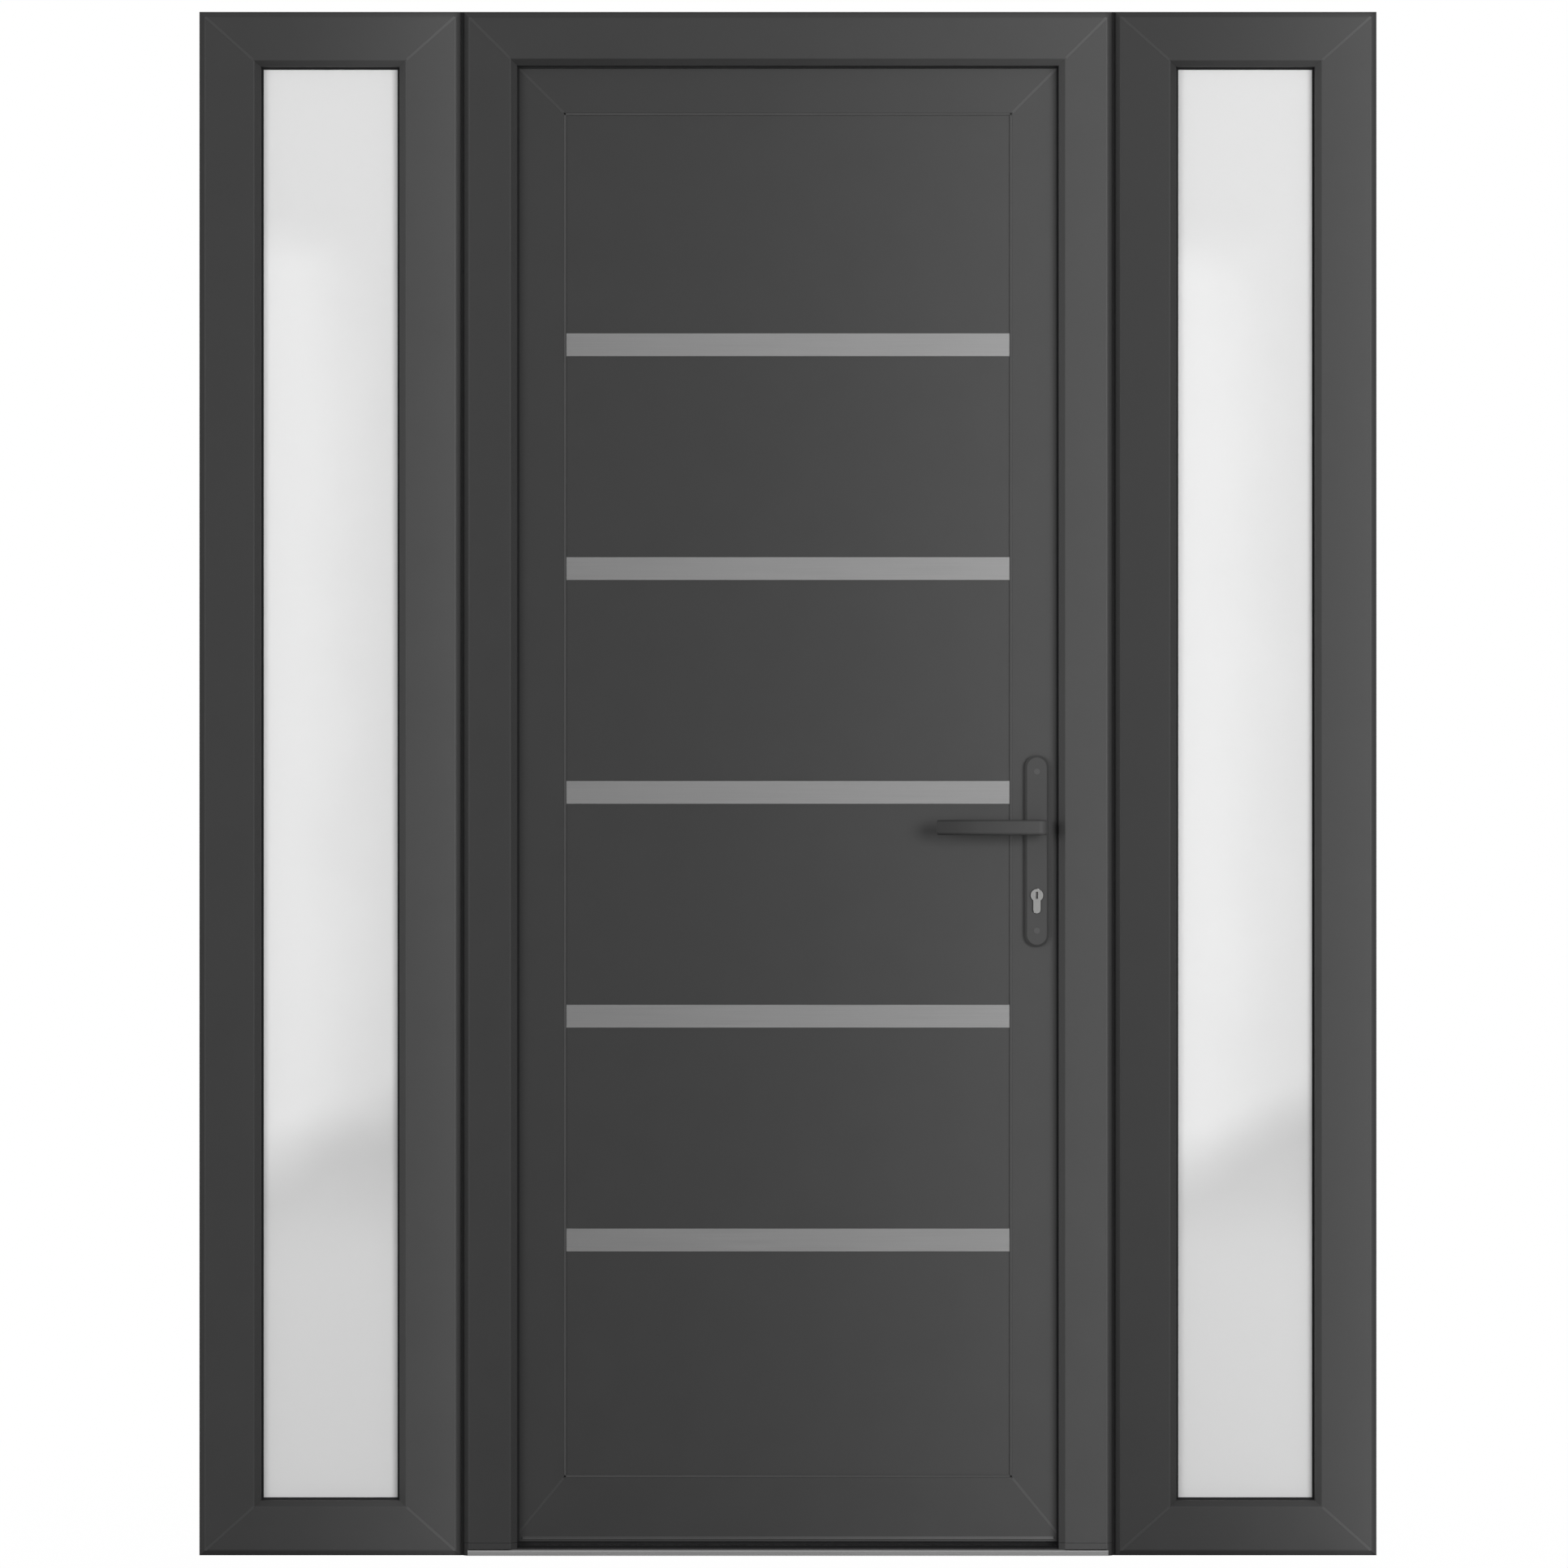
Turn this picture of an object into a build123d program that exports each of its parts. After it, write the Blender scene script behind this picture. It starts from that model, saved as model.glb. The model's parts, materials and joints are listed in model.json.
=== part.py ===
from build123d import *
import os
from collections import namedtuple

# Entrance door set of extruded PVC-U profiles: an inward-opening leaf between two fixed sidelights.
# Millimetres. X runs along the wall, -Y is outdoors, Z is up.
# The origin is on the underside of the threshold, at the middle of the frame's width and depth.

# Overall sizes
SET_HEIGHT = 2090.0
DOOR_FRAME_WIDTH = 879.0
SIDELIGHT_WIDTH = 354.5
FRAME_DEPTH = 70.0
COUPLER_WIDTH = 3.0
COUPLER_RECESS = 9.0

# Door frame profile
FRAME_FACE = 73.0
FRAME_LEG = 18.0
FRAME_REBATE = 20.0
LEG_BEVEL_WIDTH = 9.0
LEG_BEVEL_DEPTH = 8.0
LEG_RADIUS = 2.5
SHOULDER_WIDTH = 7.5
SHOULDER_DEPTH = 6.0
SHOULDER_RADIUS = 5.0
BACK_RADIUS = 2.0

# Threshold
THRESHOLD_HEIGHT = 12.0
NOSE_HEIGHT = 8.8
NOSE_DEPTH = 13.0
NOSE_RADIUS = 3.5
STEP_STRIP_DEPTH = 8.0
STEP_STRIP_EDGE = 1.0
THRESHOLD_END_GAP = 6.0
END_BLOCK_HEIGHT = 5.6
END_BLOCK_JOINT = 0.4

# Leaf profile
LEAF_DEPTH = 70.0
LEAF_BEHIND_LEG = 5.0
LEAF_FLOOR_GAP = 5.6
CHAMBER_GAP = 12.0
LIP_OVERLAP = 8.0
LIP_GAP = 5.0
LEAF_STILE = 73.25
LEAF_BOTTOM_RAIL = 89.4

# Glazing rebates, gaskets and beads
GLAZING_REBATE = 20.0
GLAZING_LEG = 10.0
GLAZING_BEVEL_WIDTH = 3.0
GLAZING_BEVEL_DEPTH = 2.3
GASKET = 3.0
GASKET_WIDTH = 12.0
GASKET_LIP = 3.0
INFILL_EDGE_GAP = 5.0
BEAD_BEVEL_WIDTH = 8.0
BEAD_BEVEL_DEPTH = 10.0
BEAD_RADIUS = 3.0
BEAD_JOINT = 0.2

# Door panel and its strips
PANEL_THICKNESS = 36.0
PANEL_SETBACK = 2.5
PANEL_FIT = 0.2
PANEL_BEVEL = 0.3
STRIP_COUNT = 5
STRIP_HEIGHT = 31.4
STRIP_THICKNESS = 1.5
STRIP_PITCH = 303.5
STRIP_MIDDLE = 1033.0
STRIP_END_GAP = 0.3

# Sidelights
SIDELIGHT_STILE = 83.5
SIDELIGHT_RAIL = 74.5
PANE_THICKNESS = 4.0
PANE_CAVITY = 16.0
SPACER_INSET = 3.0
SPACER_WIDTH = 8.0

# Weather seals
SEAL_TOUCH = 0.3
FRAME_SEAL_WIDTH = 8.0
FRAME_SEAL_SHOWS = 2.5
LIP_SEAL_WIDTH = 5.0
LIP_SEAL_INSET = 2.0
BOTTOM_SEAL_WIDTH = 10.0
BOTTOM_SEAL_END_GAP = 6.0
DRIP_HEIGHT = 3.1
DRIP_LIFT = 3.7
DRIP_DEPTH = 3.0
DRIP_END_GAP = 14.5
DRIP_EDGE = 1.0

# Hinges
HINGE_AXIS_OUT = 15.0
HINGE_AXIS_DEPTH = 7.0
HINGE_HEIGHT = 90.0
HINGE_END_DISTANCE = 240.0
KNUCKLE_RADIUS = 9.0
KNUCKLE_GAP = 0.5
PIN_RADIUS = 4.0
PIN_LENGTH = 36.0
PIN_CLEARANCE = 0.05
HINGE_PLATE = 3.0
HINGE_CORNER_BEVEL = 5.0
KNUCKLE_BEVEL = 1.5
HINGE_WEB = 8.0
FRAME_PLATE_WIDTH = 34.0
FRAME_PLATE_OUT = 8.0
FLAG_WIDTH = 42.0
FLAG_INSET = 2.5
FLAG_ARM_DEPTH = 6.0

# Handle
SPINDLE_BACKSET = 37.2
SPINDLE_HEIGHT = 985.7
SPINDLE_SIZE = 8.0
SPINDLE_HOLE_RADIUS = 8.0
PLATE_WIDTH = 32.5
PLATE_LENGTH = 259.5
PLATE_THICKNESS = 9.0
PLATE_DROP = 32.2
PLATE_BEVEL = 3.0
COLLAR_RADIUS = 7.0
COLLAR_CLEARANCE = 0.3
COLLAR_DEPTH = 6.0
LEVER_GAP = 0.5
LEVER_HEIGHT = 20.3
LEVER_REACH = 136.4
LEVER_HEEL = 14.5
LEVER_STANDOFF = 52.0
LEVER_THICKNESS = 11.0
LEVER_TIP_LENGTH = 40.0
LEVER_TIP_TURN = 16.0
LEVER_HEEL_RADIUS = 12.0
LEVER_BOW_RADIUS = 60.0
LEVER_NECK = 9.5
LEVER_EDGE_RADIUS = 3.5
SPINDLE_SOCKET = 16.0

# Lock cylinder
CYLINDER_DROP = 92.0
CYLINDER_RADIUS = 8.5
CYLINDER_TAIL_WIDTH = 10.0
CYLINDER_HEIGHT = 33.0
CYLINDER_CLEARANCE = 0.5
CYLINDER_STANDOUT = 3.0
PLUG_RADIUS = 6.5
PLUG_CLEARANCE = 0.05
PLUG_LENGTH = 30.0
KEYWAY_WIDTH = 3.0
KEYWAY_HEIGHT = 9.6
KEYWAY_DEPTH = 20.0

# Lock strip on the leaf's edge and the keeps opposite
LOCK_STRIP_WIDTH = 16.0
LOCK_STRIP_THICKNESS = 3.0
LOCK_CORNER_BEVEL = 1.5
LOCK_STRIP_END = 110.0
LOCK_STRIP_DEPTH_PLACE = 26.0
BOLT_WIDTH = 10.0
BOLT_HEIGHT = 34.0
BOLT_RECESS = 0.5
HOOK_DISTANCE = 560.0
KEEP_WIDTH = 20.0
KEEP_HEIGHT = 120.0
KEEP_THICKNESS = 3.0

# Places worked out from the sizes
FRONT = -FRAME_DEPTH / 2
BACK = FRAME_DEPTH / 2
LEG_BACK = FRONT + FRAME_LEG
FRAME_WALL = FRAME_FACE - FRAME_REBATE
FRAME_HALF = DOOR_FRAME_WIDTH / 2
SIDELIGHT_START = FRAME_HALF + COUPLER_WIDTH
JAMB_BOTTOM = THRESHOLD_HEIGHT + END_BLOCK_HEIGHT
LEAF_BOTTOM = THRESHOLD_HEIGHT + LEAF_FLOOR_GAP
LEAF_FRONT = LEG_BACK + LEAF_BEHIND_LEG
LEAF_BACK = LEAF_FRONT + LEAF_DEPTH
LIP_FRONT = BACK + LIP_GAP
LIP_REACH = CHAMBER_GAP + LIP_OVERLAP
LEAF_HALF = FRAME_HALF - FRAME_WALL - CHAMBER_GAP
LEAF_TOP = SET_HEIGHT - FRAME_WALL - CHAMBER_GAP
PANEL_FRONT = LEAF_FRONT + PANEL_SETBACK
PANEL_FLANGE_FRONT = LEAF_FRONT + GLAZING_LEG + GASKET
PANEL_BACK = PANEL_FRONT + PANEL_THICKNESS
GLASS_FRONT = LEG_BACK + GASKET
GLASS_BACK = GLASS_FRONT + 2 * PANE_THICKNESS + PANE_CAVITY
HINGE_X = -(LEAF_HALF + LIP_REACH + HINGE_AXIS_OUT)
HINGE_Y = LEAF_BACK - HINGE_AXIS_DEPTH
SPINDLE_X = LEAF_HALF - SPINDLE_BACKSET
PLATE_MIDDLE = SPINDLE_HEIGHT - PLATE_DROP
PLATE_FRONT = LEAF_FRONT - PLATE_THICKNESS
PLATE_BACK = LEAF_BACK + PLATE_THICKNESS
CYLINDER_Z = SPINDLE_HEIGHT - CYLINDER_DROP
LOCK_STRIP_Y = LEAF_FRONT + LOCK_STRIP_DEPTH_PLACE
LOCK_HEIGHTS = (SPINDLE_HEIGHT - HOOK_DISTANCE, SPINDLE_HEIGHT, SPINDLE_HEIGHT + HOOK_DISTANCE)

Rect = namedtuple("Rect", "left right bottom top")
LEAF_RECT = Rect(-LEAF_HALF, LEAF_HALF, LEAF_BOTTOM, LEAF_TOP)
JAMB_RECT = Rect(-FRAME_HALF, FRAME_HALF, JAMB_BOTTOM, SET_HEIGHT)


def inset(rect, sides, bottom=None, top=None):
    """The rectangle inside another one; negative distances grow it."""
    bottom = sides if bottom is None else bottom
    top = sides if top is None else top
    return Rect(rect.left + sides, rect.right - sides, rect.bottom + bottom, rect.top - top)


def slab(left, right, front, back, bottom, top):
    """A block given by its six faces."""
    size = (right - left, back - front, top - bottom)
    return Pos((left + right) / 2, (front + back) / 2, (bottom + top) / 2) * Box(*size)


def sheet(rect, front, back):
    """An upright sheet filling a rectangle between two depths."""
    return slab(rect.left, rect.right, front, back, rect.bottom, rect.top)


def ring(outer, inner, front, back):
    """An upright ring between two rectangles."""
    return sheet(outer, front, back) - sheet(inner, front - 1, back + 1)


def across(outline, x, z, front, back):
    """An outline in the plane of the wall, run through from front to back at one place."""
    return Pos(x, back, z) * Rot(90, 0, 0) * extrude(outline, back - front)


def upright(outline, bottom, top):
    """A plan outline run up from bottom to top."""
    return Pos(0, 0, bottom) * extrude(outline, top - bottom)


def polygon(points):
    """A face with straight sides through the points."""
    return make_face(Polyline(*points, close=True))


def mitred_bar(section, length, width, start=0.0, end=0.0, lip=(0.0, 0.0), joint=0.0):
    """A profile run along local Z, mitred towards neighbours of the widths start and end."""
    bar = Pos(0, 0, -lip[0]) * extrude(section, length + lip[0] + lip[1])
    if start:
        plane = Plane(origin=(0, 0, joint / 2), z_dir=(-start, 0, width))
        bar = split(bar, bisect_by=plane, keep=Keep.TOP)
    if end:
        plane = Plane(origin=(0, 0, length - joint / 2), z_dir=(-end, 0, -width))
        bar = split(bar, bisect_by=plane, keep=Keep.TOP)
    return bar


def place(bar, rect, side):
    """Sets a bar on one side of a rectangle, its local X pointing into the rectangle."""
    corner = {
        "left": (rect.left, rect.bottom, 0),
        "top": (rect.left, rect.top, 90),
        "right": (rect.right, rect.top, 180),
        "bottom": (rect.right, rect.bottom, 270),
    }
    x, z, turn = corner[side]
    return Pos(x, 0, z) * Rot(0, turn, 0) * bar


def rounded(corners):
    """A face through corners given as (x, y, radius)."""
    points = [(x, y) for x, y, _ in corners]
    return make_face(FilletPolyline(*points, radius=[corner[2] for corner in corners], close=True))


def frame_section(width, rebate, share=1.0):
    """The outer profile: sloped shoulder, a leg in front of the rebate, and a flat back.

    A profile that meets a wider one in a mitre has its slopes narrowed by their share."""
    wall = width - rebate
    return rounded([
        (0, FRONT + SHOULDER_DEPTH, SHOULDER_RADIUS),
        (SHOULDER_WIDTH * share, FRONT, SHOULDER_RADIUS),
        (width - LEG_BEVEL_WIDTH * share, FRONT, LEG_RADIUS),
        (width, FRONT + LEG_BEVEL_DEPTH, LEG_RADIUS),
        (width, LEG_BACK, 0),
        (wall, LEG_BACK, 0),
        (wall, BACK, 0),
        (0, BACK, BACK_RADIUS),
    ])


def leaf_section(width, lip, share=1.0):
    """The leaf profile: thin glazing leg in front, deep rebate behind, lip over the frame."""
    lip_back = [(-lip, LIP_FRONT, 0), (0, LIP_FRONT, 0)] if lip else []
    return rounded([
        (0, LEAF_FRONT, 0),
        (width - GLAZING_BEVEL_WIDTH * share, LEAF_FRONT, 0),
        (width, LEAF_FRONT + GLAZING_BEVEL_DEPTH, 0),
        (width, LEAF_FRONT + GLAZING_LEG, 0),
        (width - GLAZING_REBATE, LEAF_FRONT + GLAZING_LEG, 0),
        (width - GLAZING_REBATE, LEAF_BACK, 0),
        (-lip, LEAF_BACK, BACK_RADIUS),
    ] + lip_back)


def bead_section(front, back):
    """A glazing bead: upright at the rebate, sloped and rounded towards the infill."""
    return rounded([
        (0, front, 0),
        (GLAZING_REBATE, front, 0),
        (GLAZING_REBATE, back - BEAD_BEVEL_DEPTH, BEAD_RADIUS),
        (GLAZING_REBATE - BEAD_BEVEL_WIDTH, back, BEAD_RADIUS),
        (0, back, 0),
    ])


def beads(sight, front, back):
    """Four beads round a sight opening, with hairline joints at the mitres."""
    rect = inset(sight, -GLAZING_REBATE)
    section = bead_section(front, back)
    tall = rect.top - rect.bottom
    wide = rect.right - rect.left
    width = GLAZING_REBATE
    upright_bar = mitred_bar(section, tall, width, width, width, joint=BEAD_JOINT)
    level_bar = mitred_bar(section, wide, width, width, width, joint=BEAD_JOINT)
    bars = [
        place(upright_bar, rect, "left"),
        place(level_bar, rect, "top"),
        place(upright_bar, rect, "right"),
        place(level_bar, rect, "bottom"),
    ]
    return Compound(children=bars)


def gasket(sight, front, back, lip):
    """A gasket ring behind or in front of an infill, its lip showing past the sight line."""
    return ring(inset(sight, -GASKET_WIDTH), inset(sight, lip), front, back)


def sidelight(side):
    """The pieces of one sidelight; side is -1 for the left one, 1 for the right one."""
    near = SIDELIGHT_START
    far = SIDELIGHT_START + SIDELIGHT_WIDTH
    rect = Rect(-far, -near, 0, SET_HEIGHT) if side < 0 else Rect(near, far, 0, SET_HEIGHT)
    stile = mitred_bar(
        frame_section(SIDELIGHT_STILE, GLAZING_REBATE),
        SET_HEIGHT, SIDELIGHT_STILE, SIDELIGHT_RAIL, SIDELIGHT_RAIL)
    rail = mitred_bar(
        frame_section(SIDELIGHT_RAIL, GLAZING_REBATE, SIDELIGHT_RAIL / SIDELIGHT_STILE),
        SIDELIGHT_WIDTH, SIDELIGHT_RAIL, SIDELIGHT_STILE, SIDELIGHT_STILE)
    outer, inner = ("left", "right") if side < 0 else ("right", "left")
    sight = inset(rect, SIDELIGHT_STILE, SIDELIGHT_RAIL, SIDELIGHT_RAIL)
    unit = inset(sight, INFILL_EDGE_GAP - GLAZING_REBATE)
    spacer_outer = inset(unit, SPACER_INSET)
    cavity_front = GLASS_FRONT + PANE_THICKNESS
    cavity_back = GLASS_BACK - PANE_THICKNESS
    panes = [sheet(unit, GLASS_FRONT, cavity_front), sheet(unit, cavity_back, GLASS_BACK)]
    gaskets = [
        gasket(sight, LEG_BACK, GLASS_FRONT, GASKET_LIP),
        gasket(sight, GLASS_BACK, GLASS_BACK + GASKET, GASKET_LIP),
    ]
    return {
        "outer_stile": place(stile, rect, outer),
        "inner_stile": place(stile, rect, inner),
        "head": place(rail, rect, "top"),
        "sill": place(rail, rect, "bottom"),
        "glass": Compound(children=panes),
        "spacer": ring(spacer_outer, inset(spacer_outer, SPACER_WIDTH), cavity_front, cavity_back),
        "beads": beads(sight, GLASS_BACK + GASKET, BACK),
        "gaskets": Compound(children=gaskets),
    }


def door_frame():
    """The two jambs and the head, mitred at the top and square at the threshold."""
    section = frame_section(FRAME_FACE, FRAME_REBATE)
    tall = SET_HEIGHT - JAMB_BOTTOM
    hinge_jamb = mitred_bar(section, tall, FRAME_FACE, end=FRAME_FACE)
    lock_jamb = mitred_bar(section, tall, FRAME_FACE, start=FRAME_FACE)
    head = mitred_bar(section, DOOR_FRAME_WIDTH, FRAME_FACE, FRAME_FACE, FRAME_FACE)
    return {
        "hinge_jamb": place(hinge_jamb, JAMB_RECT, "left"),
        "lock_jamb": place(lock_jamb, JAMB_RECT, "right"),
        "frame_head": place(head, JAMB_RECT, "top"),
    }


def threshold():
    """The low threshold: a rounded nose outdoors, a step, and a plateau under the leaf."""
    step = FRONT + NOSE_DEPTH + STEP_STRIP_DEPTH
    outline = rounded([
        (FRONT, 0, 0),
        (FRONT, NOSE_HEIGHT, NOSE_RADIUS),
        (step, NOSE_HEIGHT, 0),
        (step, THRESHOLD_HEIGHT, 0),
        (BACK, THRESHOLD_HEIGHT, 0),
        (BACK, 0, 0),
    ])
    half = FRAME_HALF - THRESHOLD_END_GAP
    return Plane.YZ.offset(-half) * extrude(outline, 2 * half)


def end_blocks(threshold_bar):
    """Blocks with the plan of the jambs that carry them on the threshold and close its ends."""
    plan = Pos(-FRAME_HALF, 0) * frame_section(FRAME_FACE, FRAME_REBATE)
    end_cap = Rect(-FRAME_HALF, -FRAME_HALF + THRESHOLD_END_GAP, 0, JAMB_BOTTOM)
    block = upright(plan, NOSE_HEIGHT, JAMB_BOTTOM - END_BLOCK_JOINT)
    cap = upright(plan, 0, NOSE_HEIGHT) & sheet(end_cap, FRONT, BACK)
    left = block + cap - threshold_bar
    return Compound(children=[left, mirror(left, about=Plane.YZ)])


def couplers():
    """Strips that couple the door frame to the sidelights, set back in the joint."""
    strip = slab(FRAME_HALF, SIDELIGHT_START, FRONT + COUPLER_RECESS, BACK - COUPLER_RECESS,
                 0, SET_HEIGHT)
    return Compound(children=[strip, mirror(strip, about=Plane.YZ)])


def leaf_frame():
    """The leaf's stiles and rails, mitred at all four corners."""
    side = leaf_section(LEAF_STILE, LIP_REACH)
    foot = leaf_section(LEAF_BOTTOM_RAIL, 0, LEAF_BOTTOM_RAIL / LEAF_STILE)
    tall = LEAF_TOP - LEAF_BOTTOM
    wide = 2 * LEAF_HALF
    hinge_stile = mitred_bar(side, tall, LEAF_STILE, LEAF_BOTTOM_RAIL, LEAF_STILE,
                             lip=(0, LIP_REACH))
    lock_stile = mitred_bar(side, tall, LEAF_STILE, LEAF_STILE, LEAF_BOTTOM_RAIL,
                            lip=(LIP_REACH, 0))
    top_rail = mitred_bar(side, wide, LEAF_STILE, LEAF_STILE, LEAF_STILE,
                          lip=(LIP_REACH, LIP_REACH))
    bottom_rail = mitred_bar(foot, wide, LEAF_BOTTOM_RAIL, LEAF_STILE, LEAF_STILE)
    hole = across(Circle(SPINDLE_HOLE_RADIUS), SPINDLE_X, SPINDLE_HEIGHT,
                  LEAF_FRONT - 1, LEAF_BACK + 1)
    cylinder_hole = across(cylinder_outline(CYLINDER_CLEARANCE), SPINDLE_X, CYLINDER_Z,
                           LEAF_FRONT - 1, LEAF_BACK + 1)
    return {
        "hinge_stile": place(hinge_stile, LEAF_RECT, "left"),
        "lock_stile": place(lock_stile, LEAF_RECT, "right") - hole - cylinder_hole - lock_strip_blank(),
        "top_rail": place(top_rail, LEAF_RECT, "top"),
        "bottom_rail": place(bottom_rail, LEAF_RECT, "bottom"),
    }


def leaf_sight():
    """The opening between the leaf's glazing legs."""
    return inset(LEAF_RECT, LEAF_STILE, LEAF_BOTTOM_RAIL, LEAF_STILE)


def door_panel():
    """The insulated panel: a flange held in the rebate and a face that fills the opening."""
    sight = leaf_sight()
    face_rect = inset(sight, PANEL_FIT)
    flange = sheet(inset(sight, INFILL_EDGE_GAP - GLAZING_REBATE), PANEL_FLANGE_FRONT, PANEL_BACK)
    face = sheet(face_rect, PANEL_FRONT, PANEL_FLANGE_FRONT)
    front_edges = face.faces().sort_by(Axis.Y)[0].edges()
    return flange + chamfer(front_edges, PANEL_BEVEL)


def strips():
    """The metal strips across the outside of the panel."""
    half = leaf_sight().right - PANEL_FIT - PANEL_BEVEL - STRIP_END_GAP
    first = STRIP_MIDDLE - STRIP_PITCH * (STRIP_COUNT - 1) / 2
    bars = []
    for index in range(STRIP_COUNT):
        middle = first + index * STRIP_PITCH
        bars.append(slab(-half, half, PANEL_FRONT - STRIP_THICKNESS, PANEL_FRONT,
                         middle - STRIP_HEIGHT / 2, middle + STRIP_HEIGHT / 2))
    return Compound(children=bars)


def panel_gaskets():
    """Gaskets in front of and behind the panel's flange."""
    outer = gasket(leaf_sight(), PANEL_FLANGE_FRONT - GASKET, PANEL_FLANGE_FRONT, 0)
    inner = gasket(leaf_sight(), PANEL_BACK, PANEL_BACK + GASKET, GASKET_LIP)
    return Compound(children=[outer, inner])


def three_sided(rect, width, front, back):
    """A seal up both sides and across the top of a rectangle."""
    inner = Rect(rect.left + width, rect.right - width, rect.bottom - 1, rect.top - width)
    return ring(rect, inner, front, back)


def frame_seal():
    """The seal behind the frame's leg, and the rubber strip in the threshold's step."""
    edge = FRAME_FACE + FRAME_SEAL_SHOWS - FRAME_SEAL_WIDTH
    leg_seal = three_sided(inset(JAMB_RECT, edge, 0, edge), FRAME_SEAL_WIDTH,
                           LEG_BACK, LEAF_FRONT - SEAL_TOUCH)
    half = FRAME_HALF - FRAME_FACE
    nose_back = FRONT + NOSE_DEPTH
    strip = polygon([
        (nose_back, NOSE_HEIGHT),
        (nose_back, NOSE_HEIGHT + STEP_STRIP_EDGE),
        (nose_back + STEP_STRIP_DEPTH, THRESHOLD_HEIGHT),
        (nose_back + STEP_STRIP_DEPTH, NOSE_HEIGHT),
    ])
    step_strip = Plane.YZ.offset(-half) * extrude(strip, 2 * half)
    return Compound(children=[leg_seal, step_strip])


def leaf_seals():
    """The seal behind the leaf's lip, and the one under its bottom rail."""
    lip_edge = LIP_SEAL_INSET - LIP_REACH
    lip_seal = three_sided(inset(LEAF_RECT, lip_edge, 0, lip_edge), LIP_SEAL_WIDTH,
                           BACK + SEAL_TOUCH, LIP_FRONT)
    half = LEAF_HALF - BOTTOM_SEAL_END_GAP
    foot_seal = slab(-half, half, -BOTTOM_SEAL_WIDTH / 2, BOTTOM_SEAL_WIDTH / 2,
                     THRESHOLD_HEIGHT + SEAL_TOUCH, LEAF_BOTTOM)
    return Compound(children=[lip_seal, foot_seal])


def drip_lip():
    """The slim drip along the foot of the leaf's outside face, its top sloped to shed water."""
    half = LEAF_HALF - DRIP_END_GAP
    bottom = LEAF_BOTTOM + DRIP_LIFT
    outline = polygon([
        (LEAF_FRONT, bottom),
        (LEAF_FRONT - DRIP_DEPTH, bottom),
        (LEAF_FRONT - DRIP_DEPTH, bottom + DRIP_EDGE),
        (LEAF_FRONT, bottom + DRIP_HEIGHT),
    ])
    return Plane.YZ.offset(-half) * extrude(outline, 2 * half)


def hinge_heights():
    """Heights of the hinges: near each end of the leaf and midway."""
    low = LEAF_BOTTOM + HINGE_END_DISTANCE
    high = LEAF_TOP - HINGE_END_DISTANCE
    return (low, (low + high) / 2, high)


def hinge_plate(left, width, front):
    """A hinge's screwed plate, its corners bevelled."""
    outline = chamfer(Rectangle(width, HINGE_HEIGHT).vertices(), HINGE_CORNER_BEVEL)
    return across(outline, left + width / 2, 0, front, front + HINGE_PLATE)


def hinge_knuckle(bottom, top, outer_end):
    """A barrel of the hinge whose outer end, first or last along Z, is bevelled."""
    barrel = upright(Circle(KNUCKLE_RADIUS), bottom, top)
    rim = barrel.faces().sort_by(Axis.Z)[outer_end].edges()
    return Pos(HINGE_X, HINGE_Y, 0) * chamfer(rim, KNUCKLE_BEVEL)


def frame_hinge_part():
    """The frame's half of a hinge: a plate, a web and the lower knuckle with its pin."""
    half = HINGE_HEIGHT / 2
    plate = hinge_plate(HINGE_X + FRAME_PLATE_OUT - FRAME_PLATE_WIDTH, FRAME_PLATE_WIDTH, BACK)
    web = slab(HINGE_X - HINGE_WEB / 2, HINGE_X + HINGE_WEB / 2, BACK, HINGE_Y,
               -half + HINGE_CORNER_BEVEL, -KNUCKLE_GAP)
    knuckle = hinge_knuckle(-half, -KNUCKLE_GAP, 0)
    pin = Pos(HINGE_X, HINGE_Y, 0) * upright(Circle(PIN_RADIUS), -half, PIN_LENGTH)
    return plate + web + knuckle + pin


def leaf_hinge_part():
    """The leaf's half of a hinge: the upper knuckle over the pin, an arm and the flag."""
    half = HINGE_HEIGHT / 2
    lip_edge = -(LEAF_HALF + LIP_REACH)
    flag_left = lip_edge + FLAG_INSET
    flag = hinge_plate(flag_left, FLAG_WIDTH, LEAF_BACK)
    arm_top = half - HINGE_CORNER_BEVEL
    bridge = slab(HINGE_X, flag_left + HINGE_PLATE, LEAF_BACK, LEAF_BACK + HINGE_PLATE,
                  KNUCKLE_GAP, arm_top)
    arm = slab(HINGE_X, lip_edge - FLAG_INSET, LEAF_BACK + HINGE_PLATE - FLAG_ARM_DEPTH,
               LEAF_BACK + HINGE_PLATE, KNUCKLE_GAP, arm_top)
    knuckle = hinge_knuckle(KNUCKLE_GAP, half, -1)
    bore = Pos(HINGE_X, HINGE_Y, 0) * upright(Circle(PIN_RADIUS + PIN_CLEARANCE),
                                               -1, PIN_LENGTH + KNUCKLE_GAP)
    return flag + bridge + arm + knuckle - bore


def repeated(piece, heights):
    """Copies of a piece at several heights."""
    return Compound(children=[Pos(0, 0, height) * piece for height in heights])


def cylinder_outline(extra=0.0):
    """The euro-profile outline: a round head over a narrow tail, grown by a clearance."""
    tail = CYLINDER_TAIL_WIDTH / 2
    drop = CYLINDER_HEIGHT - CYLINDER_RADIUS - tail
    return (Circle(CYLINDER_RADIUS + extra)
            + Pos(0, -drop / 2) * Rectangle(2 * (tail + extra), drop)
            + Pos(0, -drop) * Circle(tail + extra))


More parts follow.
